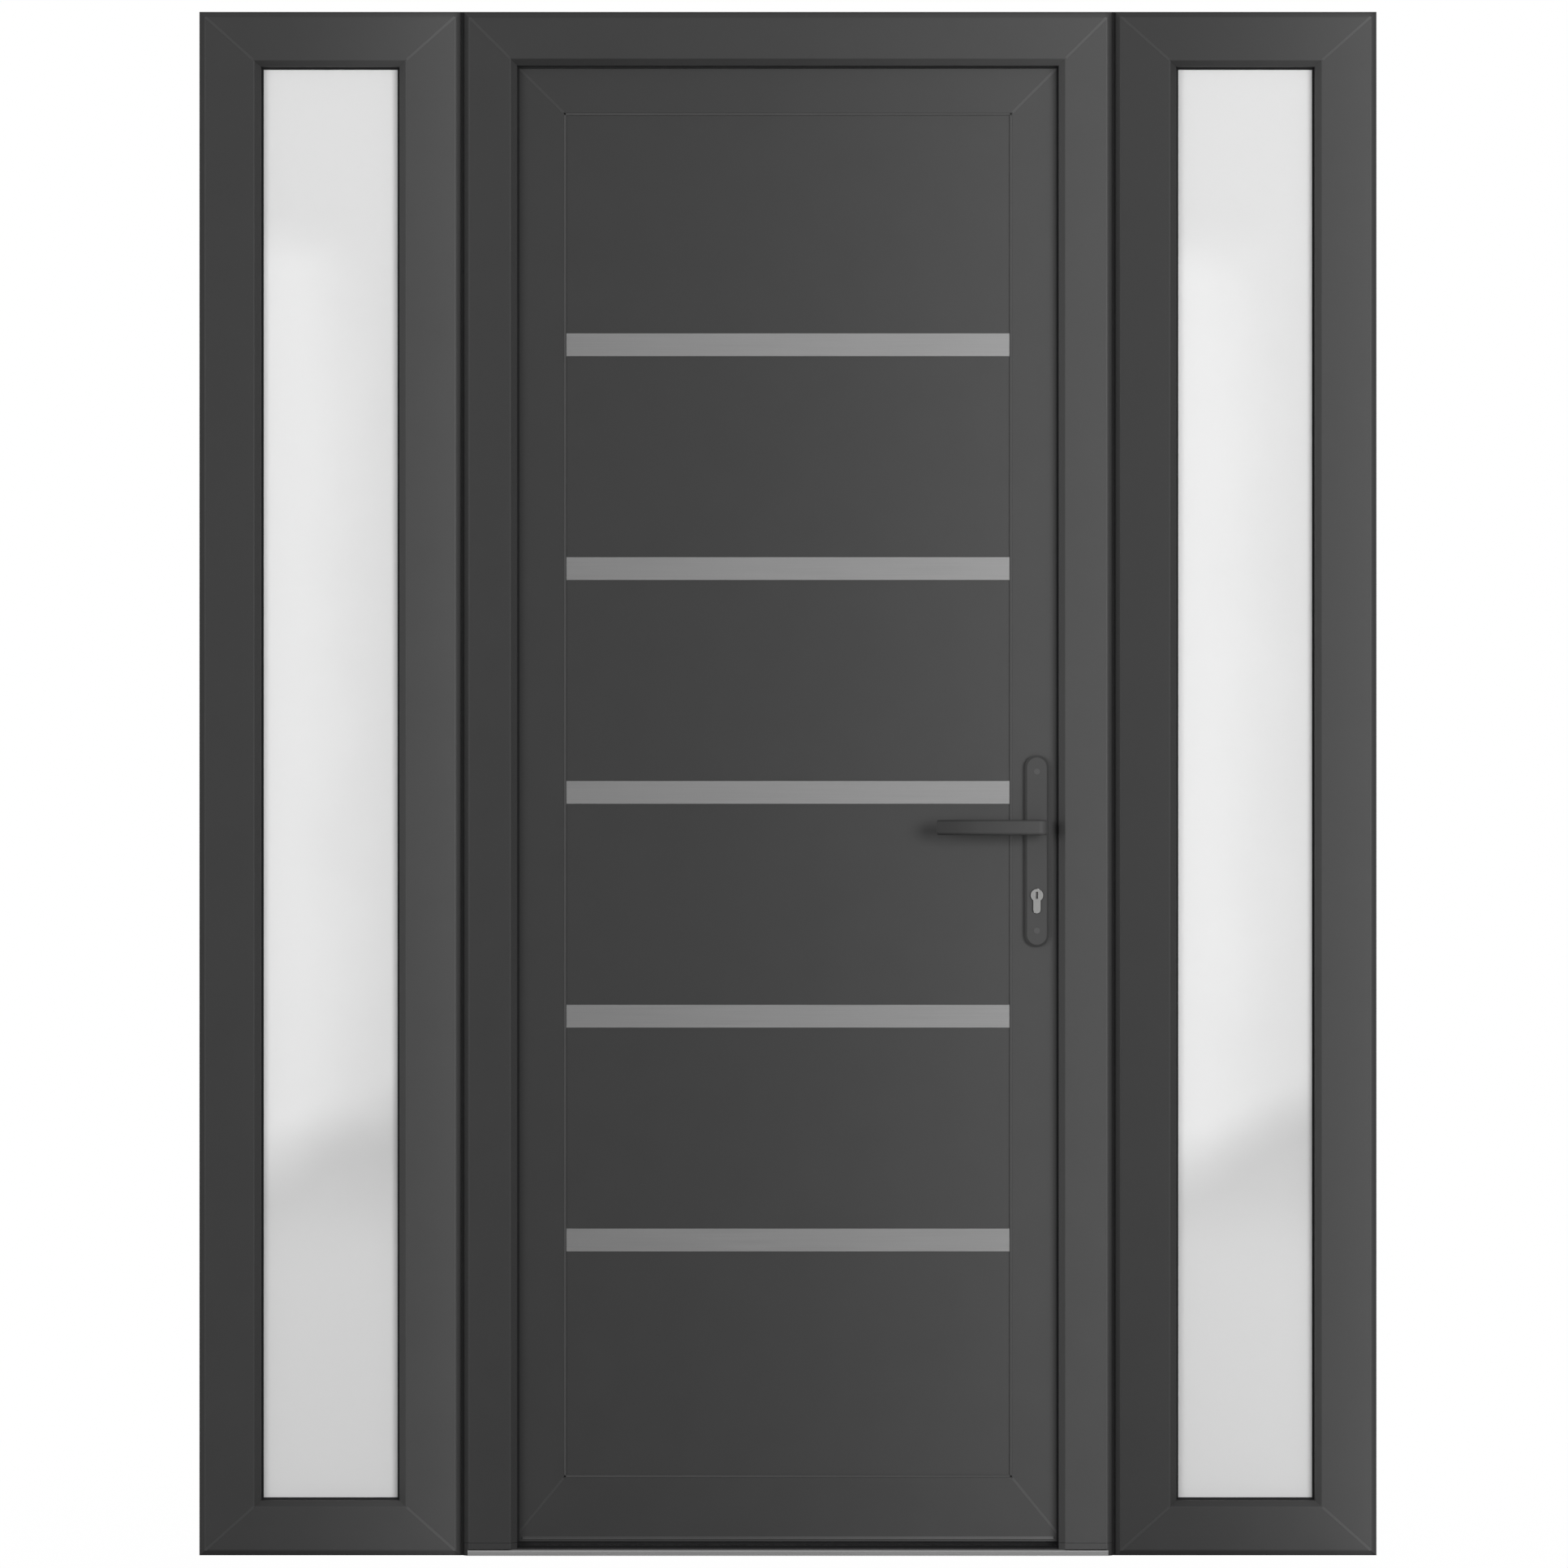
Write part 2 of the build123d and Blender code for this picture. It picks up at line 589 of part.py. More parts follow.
def keyway(front, back):
    """The slot that takes the key."""
    return slab(SPINDLE_X - KEYWAY_WIDTH / 2, SPINDLE_X + KEYWAY_WIDTH / 2, front, back,
                CYLINDER_Z - KEYWAY_HEIGHT / 2, CYLINDER_Z + KEYWAY_HEIGHT / 2)


def lock_cylinder():
    """The cylinder body, through the leaf from outside to inside."""
    front = PLATE_FRONT - CYLINDER_STANDOUT
    back = PLATE_BACK + CYLINDER_STANDOUT
    body = across(cylinder_outline(), SPINDLE_X, CYLINDER_Z, front, back)
    bore = across(Circle(PLUG_RADIUS + PLUG_CLEARANCE), SPINDLE_X, CYLINDER_Z,
                  front - 1, front + PLUG_LENGTH)
    return body - bore - keyway(back - KEYWAY_DEPTH, back + 1)


def key_plug():
    """The turning plug in the outside of the cylinder."""
    front = PLATE_FRONT - CYLINDER_STANDOUT
    plug = across(Circle(PLUG_RADIUS), SPINDLE_X, CYLINDER_Z, front, front + PLUG_LENGTH)
    return plug - keyway(front - 1, front + KEYWAY_DEPTH)


def backplate():
    """A handle's backplate with its front in the plane Y = 0 and its back at PLATE_THICKNESS."""
    plate = across(Rot(0, 0, 90) * SlotOverall(PLATE_LENGTH, PLATE_WIDTH), SPINDLE_X, PLATE_MIDDLE,
                   0, PLATE_THICKNESS)
    plate = chamfer(plate.faces().sort_by(Axis.Y)[0].edges(), PLATE_BEVEL)
    bore = across(Circle(COLLAR_RADIUS + COLLAR_CLEARANCE), SPINDLE_X, SPINDLE_HEIGHT,
                  -1, PLATE_THICKNESS + 1)
    slot = across(cylinder_outline(CYLINDER_CLEARANCE), SPINDLE_X, CYLINDER_Z,
                  -1, PLATE_THICKNESS + 1)
    return plate - bore - slot


def lever():
    """A lever in front of the plane Y = 0: neck, straight grip, and a tip that turns back."""
    front = -LEVER_STANDOFF
    inner = front + LEVER_THICKNESS
    tip = -LEVER_REACH
    turn = tip + LEVER_TIP_LENGTH
    outline = rounded([
        (-LEVER_NECK, -LEVER_GAP, 0),
        (LEVER_NECK, -LEVER_GAP, 0),
        (LEVER_HEEL, front, LEVER_HEEL_RADIUS),
        (turn, front, LEVER_BOW_RADIUS),
        (tip, front + LEVER_TIP_TURN, 0),
        (tip, inner + LEVER_TIP_TURN, 0),
        (turn, inner, 0),
        (-LEVER_NECK, inner, 0),
    ])
    grip = upright(outline, -LEVER_HEIGHT / 2, LEVER_HEIGHT / 2)
    level_faces = grip.faces().sort_by(Axis.Z)
    edges = level_faces[0].edges() + level_faces[-1].edges()
    edges = [edge for edge in edges if edge.center().Y < -LEVER_GAP - 0.01]
    grip = fillet(edges, LEVER_EDGE_RADIUS)
    collar = across(Circle(COLLAR_RADIUS), 0, 0, -LEVER_GAP, COLLAR_DEPTH)
    half = SPINDLE_SIZE / 2
    socket = slab(-half, half, -SPINDLE_SOCKET, COLLAR_DEPTH + 1, -half, half)
    return grip + collar - socket


def spindle():
    """The square bar that joins the two levers through the leaf."""
    half = SPINDLE_SIZE / 2
    return slab(SPINDLE_X - half, SPINDLE_X + half,
                PLATE_FRONT - SPINDLE_SOCKET, PLATE_BACK + SPINDLE_SOCKET,
                SPINDLE_HEIGHT - half, SPINDLE_HEIGHT + half)


def lock_strip_blank():
    """The lock's long faceplate before its windows are cut."""
    return slab(LEAF_HALF - LOCK_STRIP_THICKNESS, LEAF_HALF,
                LOCK_STRIP_Y - LOCK_STRIP_WIDTH / 2, LOCK_STRIP_Y + LOCK_STRIP_WIDTH / 2,
                LEAF_BOTTOM + LOCK_STRIP_END, LEAF_TOP - LOCK_STRIP_END)


def lock_bolts():
    """The latch and hooks, drawn back in the windows of the faceplate."""
    bolt = slab(LEAF_HALF - LOCK_STRIP_THICKNESS, LEAF_HALF - BOLT_RECESS,
                LOCK_STRIP_Y - BOLT_WIDTH / 2, LOCK_STRIP_Y + BOLT_WIDTH / 2,
                -BOLT_HEIGHT / 2, BOLT_HEIGHT / 2)
    return repeated(bolt, LOCK_HEIGHTS)


def lock_windows():
    """The windows that the bolts come through."""
    window = slab(LEAF_HALF - LOCK_STRIP_THICKNESS - 1, LEAF_HALF + 1,
                  LOCK_STRIP_Y - BOLT_WIDTH / 2, LOCK_STRIP_Y + BOLT_WIDTH / 2,
                  -BOLT_HEIGHT / 2, BOLT_HEIGHT / 2)
    return repeated(window, LOCK_HEIGHTS)


def lock_keeps():
    """The keeps on the jamb's rebate wall, opposite the latch and the hooks."""
    wall = FRAME_HALF - FRAME_WALL
    plate = slab(wall - KEEP_THICKNESS, wall,
                 LOCK_STRIP_Y - KEEP_WIDTH / 2, LOCK_STRIP_Y + KEEP_WIDTH / 2,
                 -KEEP_HEIGHT / 2, KEEP_HEIGHT / 2)
    plate = chamfer(plate.edges().filter_by(Axis.X), LOCK_CORNER_BEVEL)
    mouth = slab(wall - KEEP_THICKNESS - 1, wall + 1,
                 LOCK_STRIP_Y - BOLT_WIDTH / 2, LOCK_STRIP_Y + BOLT_WIDTH / 2,
                 -BOLT_HEIGHT / 2, BOLT_HEIGHT / 2)
    return repeated(plate - mouth, LOCK_HEIGHTS)


def build_nodes():
    """Every piece of the door set by its name."""
    nodes = {}
    for side, word in ((-1, "left"), (1, "right")):
        for name, piece in sidelight(side).items():
            nodes[f"{word}_sidelight_{name}"] = piece
    nodes.update(door_frame())
    nodes["threshold"] = threshold()
    nodes["threshold_end_blocks"] = end_blocks(nodes["threshold"])
    nodes["couplers"] = couplers()
    nodes["frame_seal"] = frame_seal()
    nodes["frame_hinge_parts"] = repeated(frame_hinge_part(), hinge_heights())
    nodes["lock_keeps"] = lock_keeps()
    nodes.update(leaf_frame())
    nodes["door_panel"] = door_panel()
    nodes["panel_strips"] = strips()
    nodes["panel_gaskets"] = panel_gaskets()
    nodes["panel_beads"] = beads(leaf_sight(), PANEL_BACK + GASKET, LEAF_BACK)
    nodes["leaf_seals"] = leaf_seals()
    nodes["drip_lip"] = drip_lip()
    nodes["leaf_hinge_parts"] = repeated(leaf_hinge_part(), hinge_heights())
    nodes["lock_faceplate"] = lock_strip_blank() - lock_windows()
    nodes["lock_bolts"] = lock_bolts()
    nodes["lock_cylinder"] = lock_cylinder()
    nodes["key_plug"] = key_plug()
    nodes["outer_backplate"] = Pos(0, PLATE_FRONT, 0) * backplate()
    nodes["inner_backplate"] = Pos(0, PLATE_BACK, 0) * mirror(backplate(), about=Plane.XZ)
    nodes["outer_lever"] = Pos(SPINDLE_X, PLATE_FRONT, SPINDLE_HEIGHT) * lever()
    nodes["inner_lever"] = (Pos(SPINDLE_X, PLATE_BACK, SPINDLE_HEIGHT)
                            * mirror(lever(), about=Plane.XZ))
    nodes["spindle"] = spindle()
    return nodes


os.makedirs("parts", exist_ok=True)
for node_name, node_piece in build_nodes().items():
    export_step(node_piece, f"parts/{node_name}.step")
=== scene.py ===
import json
import math

import bpy
from bpy.props import FloatProperty, FloatVectorProperty, PointerProperty
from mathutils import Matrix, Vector

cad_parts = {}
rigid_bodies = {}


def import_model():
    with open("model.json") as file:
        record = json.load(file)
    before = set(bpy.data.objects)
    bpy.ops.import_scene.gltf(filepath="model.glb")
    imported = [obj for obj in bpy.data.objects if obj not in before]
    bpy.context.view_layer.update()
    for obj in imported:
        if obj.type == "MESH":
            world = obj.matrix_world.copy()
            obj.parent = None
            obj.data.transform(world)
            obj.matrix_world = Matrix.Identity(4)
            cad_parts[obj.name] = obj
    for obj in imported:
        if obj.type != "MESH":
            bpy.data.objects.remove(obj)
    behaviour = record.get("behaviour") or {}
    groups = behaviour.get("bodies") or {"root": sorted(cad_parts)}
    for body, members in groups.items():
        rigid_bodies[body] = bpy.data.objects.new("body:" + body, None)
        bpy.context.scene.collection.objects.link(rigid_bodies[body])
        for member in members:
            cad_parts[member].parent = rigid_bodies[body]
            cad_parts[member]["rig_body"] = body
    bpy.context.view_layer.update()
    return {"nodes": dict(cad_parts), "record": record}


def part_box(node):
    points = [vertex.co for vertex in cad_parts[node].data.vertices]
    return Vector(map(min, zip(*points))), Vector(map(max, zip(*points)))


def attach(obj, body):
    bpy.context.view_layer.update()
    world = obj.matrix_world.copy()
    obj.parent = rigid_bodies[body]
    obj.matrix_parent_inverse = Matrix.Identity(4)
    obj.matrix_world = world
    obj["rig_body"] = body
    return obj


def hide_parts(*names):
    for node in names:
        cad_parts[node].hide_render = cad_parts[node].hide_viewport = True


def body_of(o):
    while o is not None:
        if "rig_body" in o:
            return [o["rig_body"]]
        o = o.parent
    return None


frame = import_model()

bl_info = {
    "name": "Entrance Door Set",
    "version": (1, 0, 0),
    "blender": (4, 5, 0),
    "location": "View3D > Sidebar > Door Set",
    "description": "Finishes and small parts of a PVC-U entrance door between two sidelights",
    "category": "Object",
}

MM = 0.001
# How near two places count as one: in metres, and in digits of a metre
TOUCH = 1e-6
ROUNDED_DIGITS = 6

# The photograph's side in pixels, its scale, and where the door's middle and the ground are in it
PHOTO_SIDE = 1932
PHOTO_MM_PER_PIXEL = 1.09827
PHOTO_CENTRE_X = 970.85
PHOTO_GROUND_Y = 1917

# The camera's sensor in millimetres and its far limit in metres
CAMERA_SENSOR = 36.0
CAMERA_CLIP_END = 200

# Soft boxes of the studio, in metres: where they stand, what they face and how wide they are
KEY_PLACE = (6.6, -11.5, 2.0)
FILL_PLACE = (-7.6, -11.5, 1.3)
BACK_PLACE = (1.5, 5.5, 3.4)
FRONT_AIM = (0, 0, 1.05)
BACK_AIM = (0, 0, 1.1)
FRONT_BOX_SIDE = 5.5
BACK_BOX_SIDE = 3.0
FLOOR_SIDE = 60

# The first and last node of each unit along X: its grey runs from one to the other as painted shade,
# darker at the left end and lighter at the right
UNIT_NODES = {
    "left": ("left_sidelight_outer_stile", "left_sidelight_inner_stile"),
    "middle": ("hinge_jamb", "lock_jamb"),
    "right": ("right_sidelight_inner_stile", "right_sidelight_outer_stile"),
    "leaf": ("hinge_stile", "lock_stile"),
    "lever": ("outer_lever", "outer_lever"),
}
WALL_UNITS = ("left", "middle", "right")
BODY_UNITS = {"frame": "middle", "leaf": "leaf", "lever": "lever", "plug": "leaf"}

# The four members of each welded frame: left, right, top and bottom, with the unit they are in
WELDED_FRAMES = {
    "left_sidelight": ("left", ("left_sidelight_outer_stile", "left_sidelight_inner_stile",
                                "left_sidelight_head", "left_sidelight_sill")),
    "right_sidelight": ("right", ("right_sidelight_inner_stile", "right_sidelight_outer_stile",
                                  "right_sidelight_head", "right_sidelight_sill")),
    "door_frame": ("middle", ("hinge_jamb", "lock_jamb", "frame_head", None)),
    "leaf": ("leaf", ("hinge_stile", "lock_stile", "top_rail", "bottom_rail")),
}

# The finish of each record slot and of the looks that single pieces have.
# A name that ends in an underscore stands for one finish on each unit.
LOOKS = {
    "grey_upvc": "extruded_pvc_",
    "panel_skin": "extruded_pvc_",
    "grey_trim": "extruded_pvc_",
    "weld_seam": "dressed_weld_",
    "painted_head": "painted_head_",
    "drip": "drip_pvc_",
    "lip": "lip_pvc_",
    "grey_powder_coat": "powder_coat_",
    "satin_glass": "etched_glass_painted_reflection_",
    "brushed_strip": "brushed_stainless",
    "threshold_aluminium": "anodised_threshold",
    "spacer_aluminium": "anodised_spacer",
    "black_gasket": "epdm_gasket",
    "nickel_cylinder": "satin_nickel",
    "zinc_steel": "zinc_plated_steel",
}
NODE_LOOKS = {"drip_lip": "drip", "couplers": "black_gasket"}

# Shares of a screw head's radius or stand, and of a seam's or a cap's height
SCREW_DEPTH = 3
SCREW_EDGE = 0.6
RECESS_LENGTH = 0.5
RECESS_WIDTH = 0.28
RECESS_DEPTH = 0.8
SEAM_EDGE = 0.8
CAP_EDGE = 0.6

# Where a hinge's screws lie along its height, and the ways that a screw head can face
HINGE_SCREW_SHARES = (0.18, 0.5, 0.82)
OUTDOORS = 0.0
INDOORS = math.pi
TO_THE_RIGHT = math.pi / 2
TO_THE_LEFT = -math.pi / 2


def linear(code):
    """The linear colour of an sRGB hex code."""
    parts = [int(code[place:place + 2], 16) / 255 for place in (1, 3, 5)]
    return tuple(part / 12.92 if part <= 0.04045 else ((part + 0.055) / 1.055) ** 2.4
                 for part in parts)


def colour_property(name, description, code):
    """A colour setting with its default written as an sRGB hex code."""
    return FloatVectorProperty(name=name, description=description, subtype="COLOR",
                               size=3, min=0, max=1, default=linear(code))


def length_property(name, description, millimetres):
    """A length setting with its default in millimetres."""
    return FloatProperty(name=name, description=description, unit="LENGTH",
                         default=millimetres * MM)


def share_property(name, description, share):
    """A setting between nothing and all."""
    return FloatProperty(name=name, description=description, subtype="FACTOR",
                         min=0, max=1, default=share)


def lift_property(name, description, lift):
    """A setting for how many times lighter than the face beside it a piece is."""
    return FloatProperty(name=name, description=description, min=1, default=lift)


class DOORSET_PG_colours(bpy.types.PropertyGroup):
    """Colours of the finishes, with the painted shade and painted highlights that darken or lift them."""
    # Each unit's grey runs from the left colour to the right one: painted shade, darker at the left and
    # lighter at the right
    grey_left_painted_shade: colour_property("Grey, left edge", "PVC-U at the left edge of a unit", "#303030")
    grey_right_painted_light: colour_property("Grey, right edge", "PVC-U at the right edge of a unit", "#4B4B4B")
    # The strips' two ends: painted shade, darker at the left and lighter at the right
    steel_left_painted_shade: colour_property("Strip, left end", "Brushed strip at its left end", "#6F6F6F")
    steel_right_painted_light: colour_property("Strip, right end", "Brushed strip at its right end", "#808080")
    threshold: colour_property("Threshold", "Anodised threshold", "#7F7F7F")
    # The satin glass's tones are a painted reflection: a pale sky over a darker ground
    glass_reflection_light: colour_property("Glass, light", "Satin glass where it is lightest", "#F4F4F4")
    glass_reflection_side: colour_property("Glass, side", "Satin glass near its right side and top", "#E7E7E7")
    glass_reflection_low: colour_property("Glass, low", "Satin glass below its soft horizon", "#DEDEDE")
    glass_reflection_deep: colour_property("Glass, deep", "Satin glass just under the horizon", "#CDCDCD")
    rubber: colour_property("Gasket", "Black gasket rubber", "#0E0E0F")
    # Powder coat at either end of its unit: painted shade, darker at the left end and at the lever's tip
    lever_tip_painted_shade: colour_property("Lever tip", "Powder coat at the lever's tip", "#272727")
    lever_heel_painted_light: colour_property("Lever heel", "Powder coat at the lever's heel", "#454545")
    coat_right_painted_light: colour_property("Backplate", "Powder coat of the handle's backplates", "#434343")
    nickel: colour_property("Cylinder", "Satin nickel of the lock cylinder", "#868685")
    zinc: colour_property("Lock steel", "Zinc plate of the lock parts", "#A6A9AC")
    floor_dark: colour_property("Floor, dark", "Studio floor in its darker clouds", "#EFEFEF")
    floor_light: colour_property("Floor, light", "Studio floor in its lighter clouds", "#F3F3F3")
    # The weld seams' lighter grey is a painted highlight on their low beads; the handle's screw heads
    # take the same lift
    seam_highlight_lift: lift_property("Seam lift", "How much lighter a dressed seam is than the face", 1.36)
    # The drip lip's much lighter grey is a painted highlight on its lit face
    drip_highlight_lift: lift_property("Drip lift", "How much lighter the drip lip is than the leaf", 2.6)
    # The panel lip's lighter grey is a painted highlight, strongest at its left end
    lip_highlight_lift: lift_property("Lip lift", "How much lighter the panel's lip is than the leaf", 1.75)
    # How much of the grey the painted shade leaves on a unit's left, right and top shoulders
    left_painted_shade: share_property("Left shade", "Tone left on a unit's left shoulder", 0.88)
    right_painted_shade: share_property("Right shade", "Tone left on a unit's right shoulder", 0.42)
    top_painted_shade: share_property("Top shade", "Tone left on a unit's upper shoulder", 0.6)


class DOORSET_PG_sizes(bpy.types.PropertyGroup):
    """Sizes of the added pieces, and of the tones that the finishes and the floor show, the finishes'
    painted shade and painted reflection among them.
    """
    seam_width: length_property("Seam width", "Width of a dressed weld seam", 3.4)
    seam_height: length_property("Seam height", "Height of a weld seam over the face", 0.2)
    seam_start: length_property("Seam start", "Distance of a front seam from the unit's side", 8.5)
    seam_leg_gap: length_property("Seam and leg", "Distance of a leaf's seam from the frame's leg", 1)
    seam_end: length_property("Seam end", "Distance of a front seam from the glass", 10)
    leaf_seam_end: length_property("Leaf seam end", "Distance of a leaf's seam from the panel", 3.2)
    back_seam_start: length_property("Back seam start", "Distance of a back seam from the side", 3)
    back_seam_end: length_property("Back seam end", "Distance of a back seam from the beads", 21)
    # Widths of the painted shade on a unit's shoulders; the left width also serves the top shoulder
    shoulder_left: length_property("Left shoulder", "Width of a unit's shaded left shoulder", 5)
    shoulder_right: length_property("Right shoulder", "Width of a unit's shaded right shoulder", 12)
    # Heights of the painted reflection in the glass: its ground, its horizon and its top tone
    ground_low: length_property("Ground, low", "Height where the glass's low ground is lightest", 420)
    ground_high: length_property("Ground, high", "Height where that ground is deepest", 660)
    horizon_low: length_property("Horizon, low", "Height where the horizon in the glass starts", 500)
    horizon_high: length_property("Horizon, high", "Height where the glass's sky is full", 630)
    top_low: length_property("Glass top, low", "Height where the glass's top tone starts", 1780)
    top_high: length_property("Glass top, high", "Height where the glass's top tone is full", 1880)
    floor_near: length_property("Floor, near", "Distance where the floor's shadows start to fade", 800)
    floor_far: length_property("Floor, far", "Distance where the floor is as white as the air", 2400)
    lip_width: length_property("Lip width", "Width of the panel's gasket lip", 3.4)
    lip_over: length_property("Lip overhang", "How far that lip reaches onto the panel", 0.6)
    lip_below: length_property("Lip setback", "Depth of that lip behind the leaf's face", 0.4)
    lip_depth: length_property("Lip depth", "Thickness of that lip", 1.9)
    strip_edge: length_property("Strip edge", "Bevel along the strips' edges", 0.35)
    screw_radius: length_property("Screw radius", "Head radius of the handle screws", 4.2)
    screw_stand: length_property("Screw stand", "Height of a screw head over its plate", 0.5)
    plate_screw_end: length_property("Plate screw end", "Distance of a screw from a plate's end", 22)
    hinge_plate: length_property("Hinge plate", "Thickness of the hinge plate on the jamb", 3)
    leaf_screw_inset: length_property("Leaf screw inset", "Screw to the leaf plate's edge", 12)
    jamb_screw_inset: length_property("Jamb screw inset", "Screw to the jamb plate's edge", 10)
    hinge_screw_radius: length_property("Hinge screw", "Head radius of the hinge screws", 3.6)
    lock_screw_radius: length_property("Lock screw", "Head radius of the lock's screws", 3.4)
    lock_screw_stand: length_property("Lock screw stand", "Height of a lock screw's head", 0.3)
    lock_screw_end: length_property("Lock screw end", "Distance of a screw from a plate's end", 14)
    lock_screw_gap: length_property("Lock screw gap", "Distance of a screw from a bolt", 40)
    knuckle_radius: length_property("Knuckle radius", "Radius of the hinges' knuckles", 9)
    cap_radius: length_property("Cap radius", "Radius of a hinge cap", 5.6)
    cap_height: length_property("Cap height", "Height of a hinge cap over its knuckle", 1.4)


class DOORSET_PG_stage(bpy.types.PropertyGroup):
    """The camera's lens and the strength of the studio light."""
    lens: FloatProperty(name="Lens", description="Focal length of the camera", default=200,
                        subtype="DISTANCE_CAMERA")
    key_power: FloatProperty(name="Key light", description="Large soft light, front right",
                             default=990, unit="POWER")
    fill_power: FloatProperty(name="Fill light", description="Soft light, front left",
                              default=680, unit="POWER")
    back_power: FloatProperty(name="Back light", description="Soft light on the inside face",
                              default=430, unit="POWER")
    world_strength: FloatProperty(name="World", description="Strength of the surroundings",
                                  default=0.2)
    floor_glow: share_property("Floor glow", "How white the camera sees the floor at the door", 0.99)


def settings(part):
    """One of the add-on's groups of settings."""
    return getattr(bpy.context.scene, "door_set_" + part)


def add_node(tree, kind, links=None, **values):
    """Adds a node, sets its properties and input values, and links its inputs."""
    item = tree.nodes.new(kind)
    for key, value in values.items():
        if key in item.inputs:
            item.inputs[key].default_value = value
        else:
            setattr(item, key, value)
    for key, source in (links or {}).items():
        tree.links.new(source, item.inputs[key])
    return item


def new_material(name):
    """An empty node material with its output node and object coordinates."""
    material = bpy.data.materials.new(name)
    material.use_nodes = True
    tree = material.node_tree
    tree.nodes.clear()
    place = add_node(tree, "ShaderNodeTexCoord").outputs["Object"]
    return material, tree, place


def finish_material(tree, shader):
    """Links the shader to the material's output."""
    add_node(tree, "ShaderNodeOutputMaterial", {"Surface": shader.outputs[0]})


def grain(tree, place, size_mm, detail=2.0, stretch=(1, 1, 1)):
    """Noise whose blotches are about as large as the size given, in millimetres."""
    scale = add_node(tree, "ShaderNodeMapping", {"Vector": place}, Scale=stretch)
    return add_node(tree, "ShaderNodeTexNoise", {"Vector": scale.outputs[0]},
                    Scale=1 / (size_mm * MM), Detail=detail, Roughness=0.55)


def plain_colour(tree, colour):
    """A colour as a socket."""
    item = add_node(tree, "ShaderNodeRGB")
    item.outputs[0].default_value = (*colour, 1)
    return item.outputs[0]


def blended_colour(tree, factor, low, high):
    """A mix of two colours by a factor socket."""
    mix = add_node(tree, "ShaderNodeMix", data_type="RGBA")
    mix.inputs[6].default_value = (*low, 1)
    mix.inputs[7].default_value = (*high, 1)
    tree.links.new(factor, mix.inputs[0])
    return mix.outputs[2]


def across_unit(tree, place, span):
    """0 at the left end of the span along X, 1 at its right end."""
    along = add_node(tree, "ShaderNodeSeparateXYZ", {"Vector": place})
    step = add_node(tree, "ShaderNodeMapRange", {"Value": along.outputs["X"]},
                    **{"From Min": span[0], "From Max": span[1]})
    return step.outputs[0]


def slow_start(tree, factor):
    """A factor that grows slowly from its low end, as the painted shade does across a unit."""
    curve = add_node(tree, "ShaderNodeMath", {0: factor}, operation="POWER")
    curve.inputs[1].default_value = 2.0
    return curve.outputs[0]


def bump(tree, height, strength, depth_mm):
    """Fine relief for a shader's Normal input."""
    relief = add_node(tree, "ShaderNodeBump", {"Height": height},
                      Strength=strength, Distance=depth_mm * MM)
    return relief.outputs[0]


def roughness_around(tree, factor, low, high):
    """A roughness that wanders between two values."""
    step = add_node(tree, "ShaderNodeMapRange", {"Value": factor},
                    **{"To Min": low, "To Max": high})
    return step.outputs[0]


def mottled(tree, colour, factor, amount):
    """A colour made a little darker and lighter by a factor socket."""
    step = add_node(tree, "ShaderNodeMapRange", {"Value": factor},
                    **{"To Min": 1 - amount, "To Max": 1 + amount})
    return shaded(tree, colour, step.outputs[0])


def shaded(tree, colour, level):
    """A colour made lighter or darker by a level socket."""
    tint = add_node(tree, "ShaderNodeHueSaturation", {"Color": colour, "Value": level})
    return tint.outputs[0]


def eased(tree, value, start, end):
    """0 before start, 1 after end, with a soft step between them."""
    step = add_node(tree, "ShaderNodeMapRange", {"Value": value}, interpolation_type="SMOOTHSTEP",
                    **{"From Min": start, "From Max": end})
    return step.outputs[0]


def weighted_sum(tree, first, second, weight):
    """One value plus another one times a weight."""
    item = add_node(tree, "ShaderNodeMath", {0: second, 2: first}, operation="MULTIPLY_ADD")
    item.inputs[1].default_value = weight
    return item.outputs[0]


def colours_mixed(tree, factor, first, second):
    """A mix of two colour sockets by a factor socket."""
    mix = add_node(tree, "ShaderNodeMix", {0: factor, 6: first, 7: second}, data_type="RGBA")
    return mix.outputs[2]


def painted_shoulder_shade(tree, place, box):
    """1 on a unit's face, less on its sloped shoulders: painted shade that darkens the unit's left, right
    and top edges.
    """
    low, high = box
    size, tone = settings("sizes"), settings("colours")
    spot = add_node(tree, "ShaderNodeSeparateXYZ", {"Vector": place}).outputs
    left = eased(tree, spot["X"], low.x, low.x + size.shoulder_left)
    right = eased(tree, spot["X"], high.x, high.x - size.shoulder_right)
    top = eased(tree, spot["Z"], high.z, high.z - size.shoulder_left)
    levels = [add_node(tree, "ShaderNodeMapRange", {"Value": side}, **{"To Min": shade}).outputs[0]
              for side, shade in ((left, tone.left_painted_shade), (right, tone.right_painted_shade),
                                  (top, tone.top_painted_shade))]
    both = add_node(tree, "ShaderNodeMath", {0: levels[0], 1: levels[1]}, operation="MULTIPLY")
    every = add_node(tree, "ShaderNodeMath", {0: both.outputs[0], 1: levels[2]},
                     operation="MULTIPLY")
    return every.outputs[0]


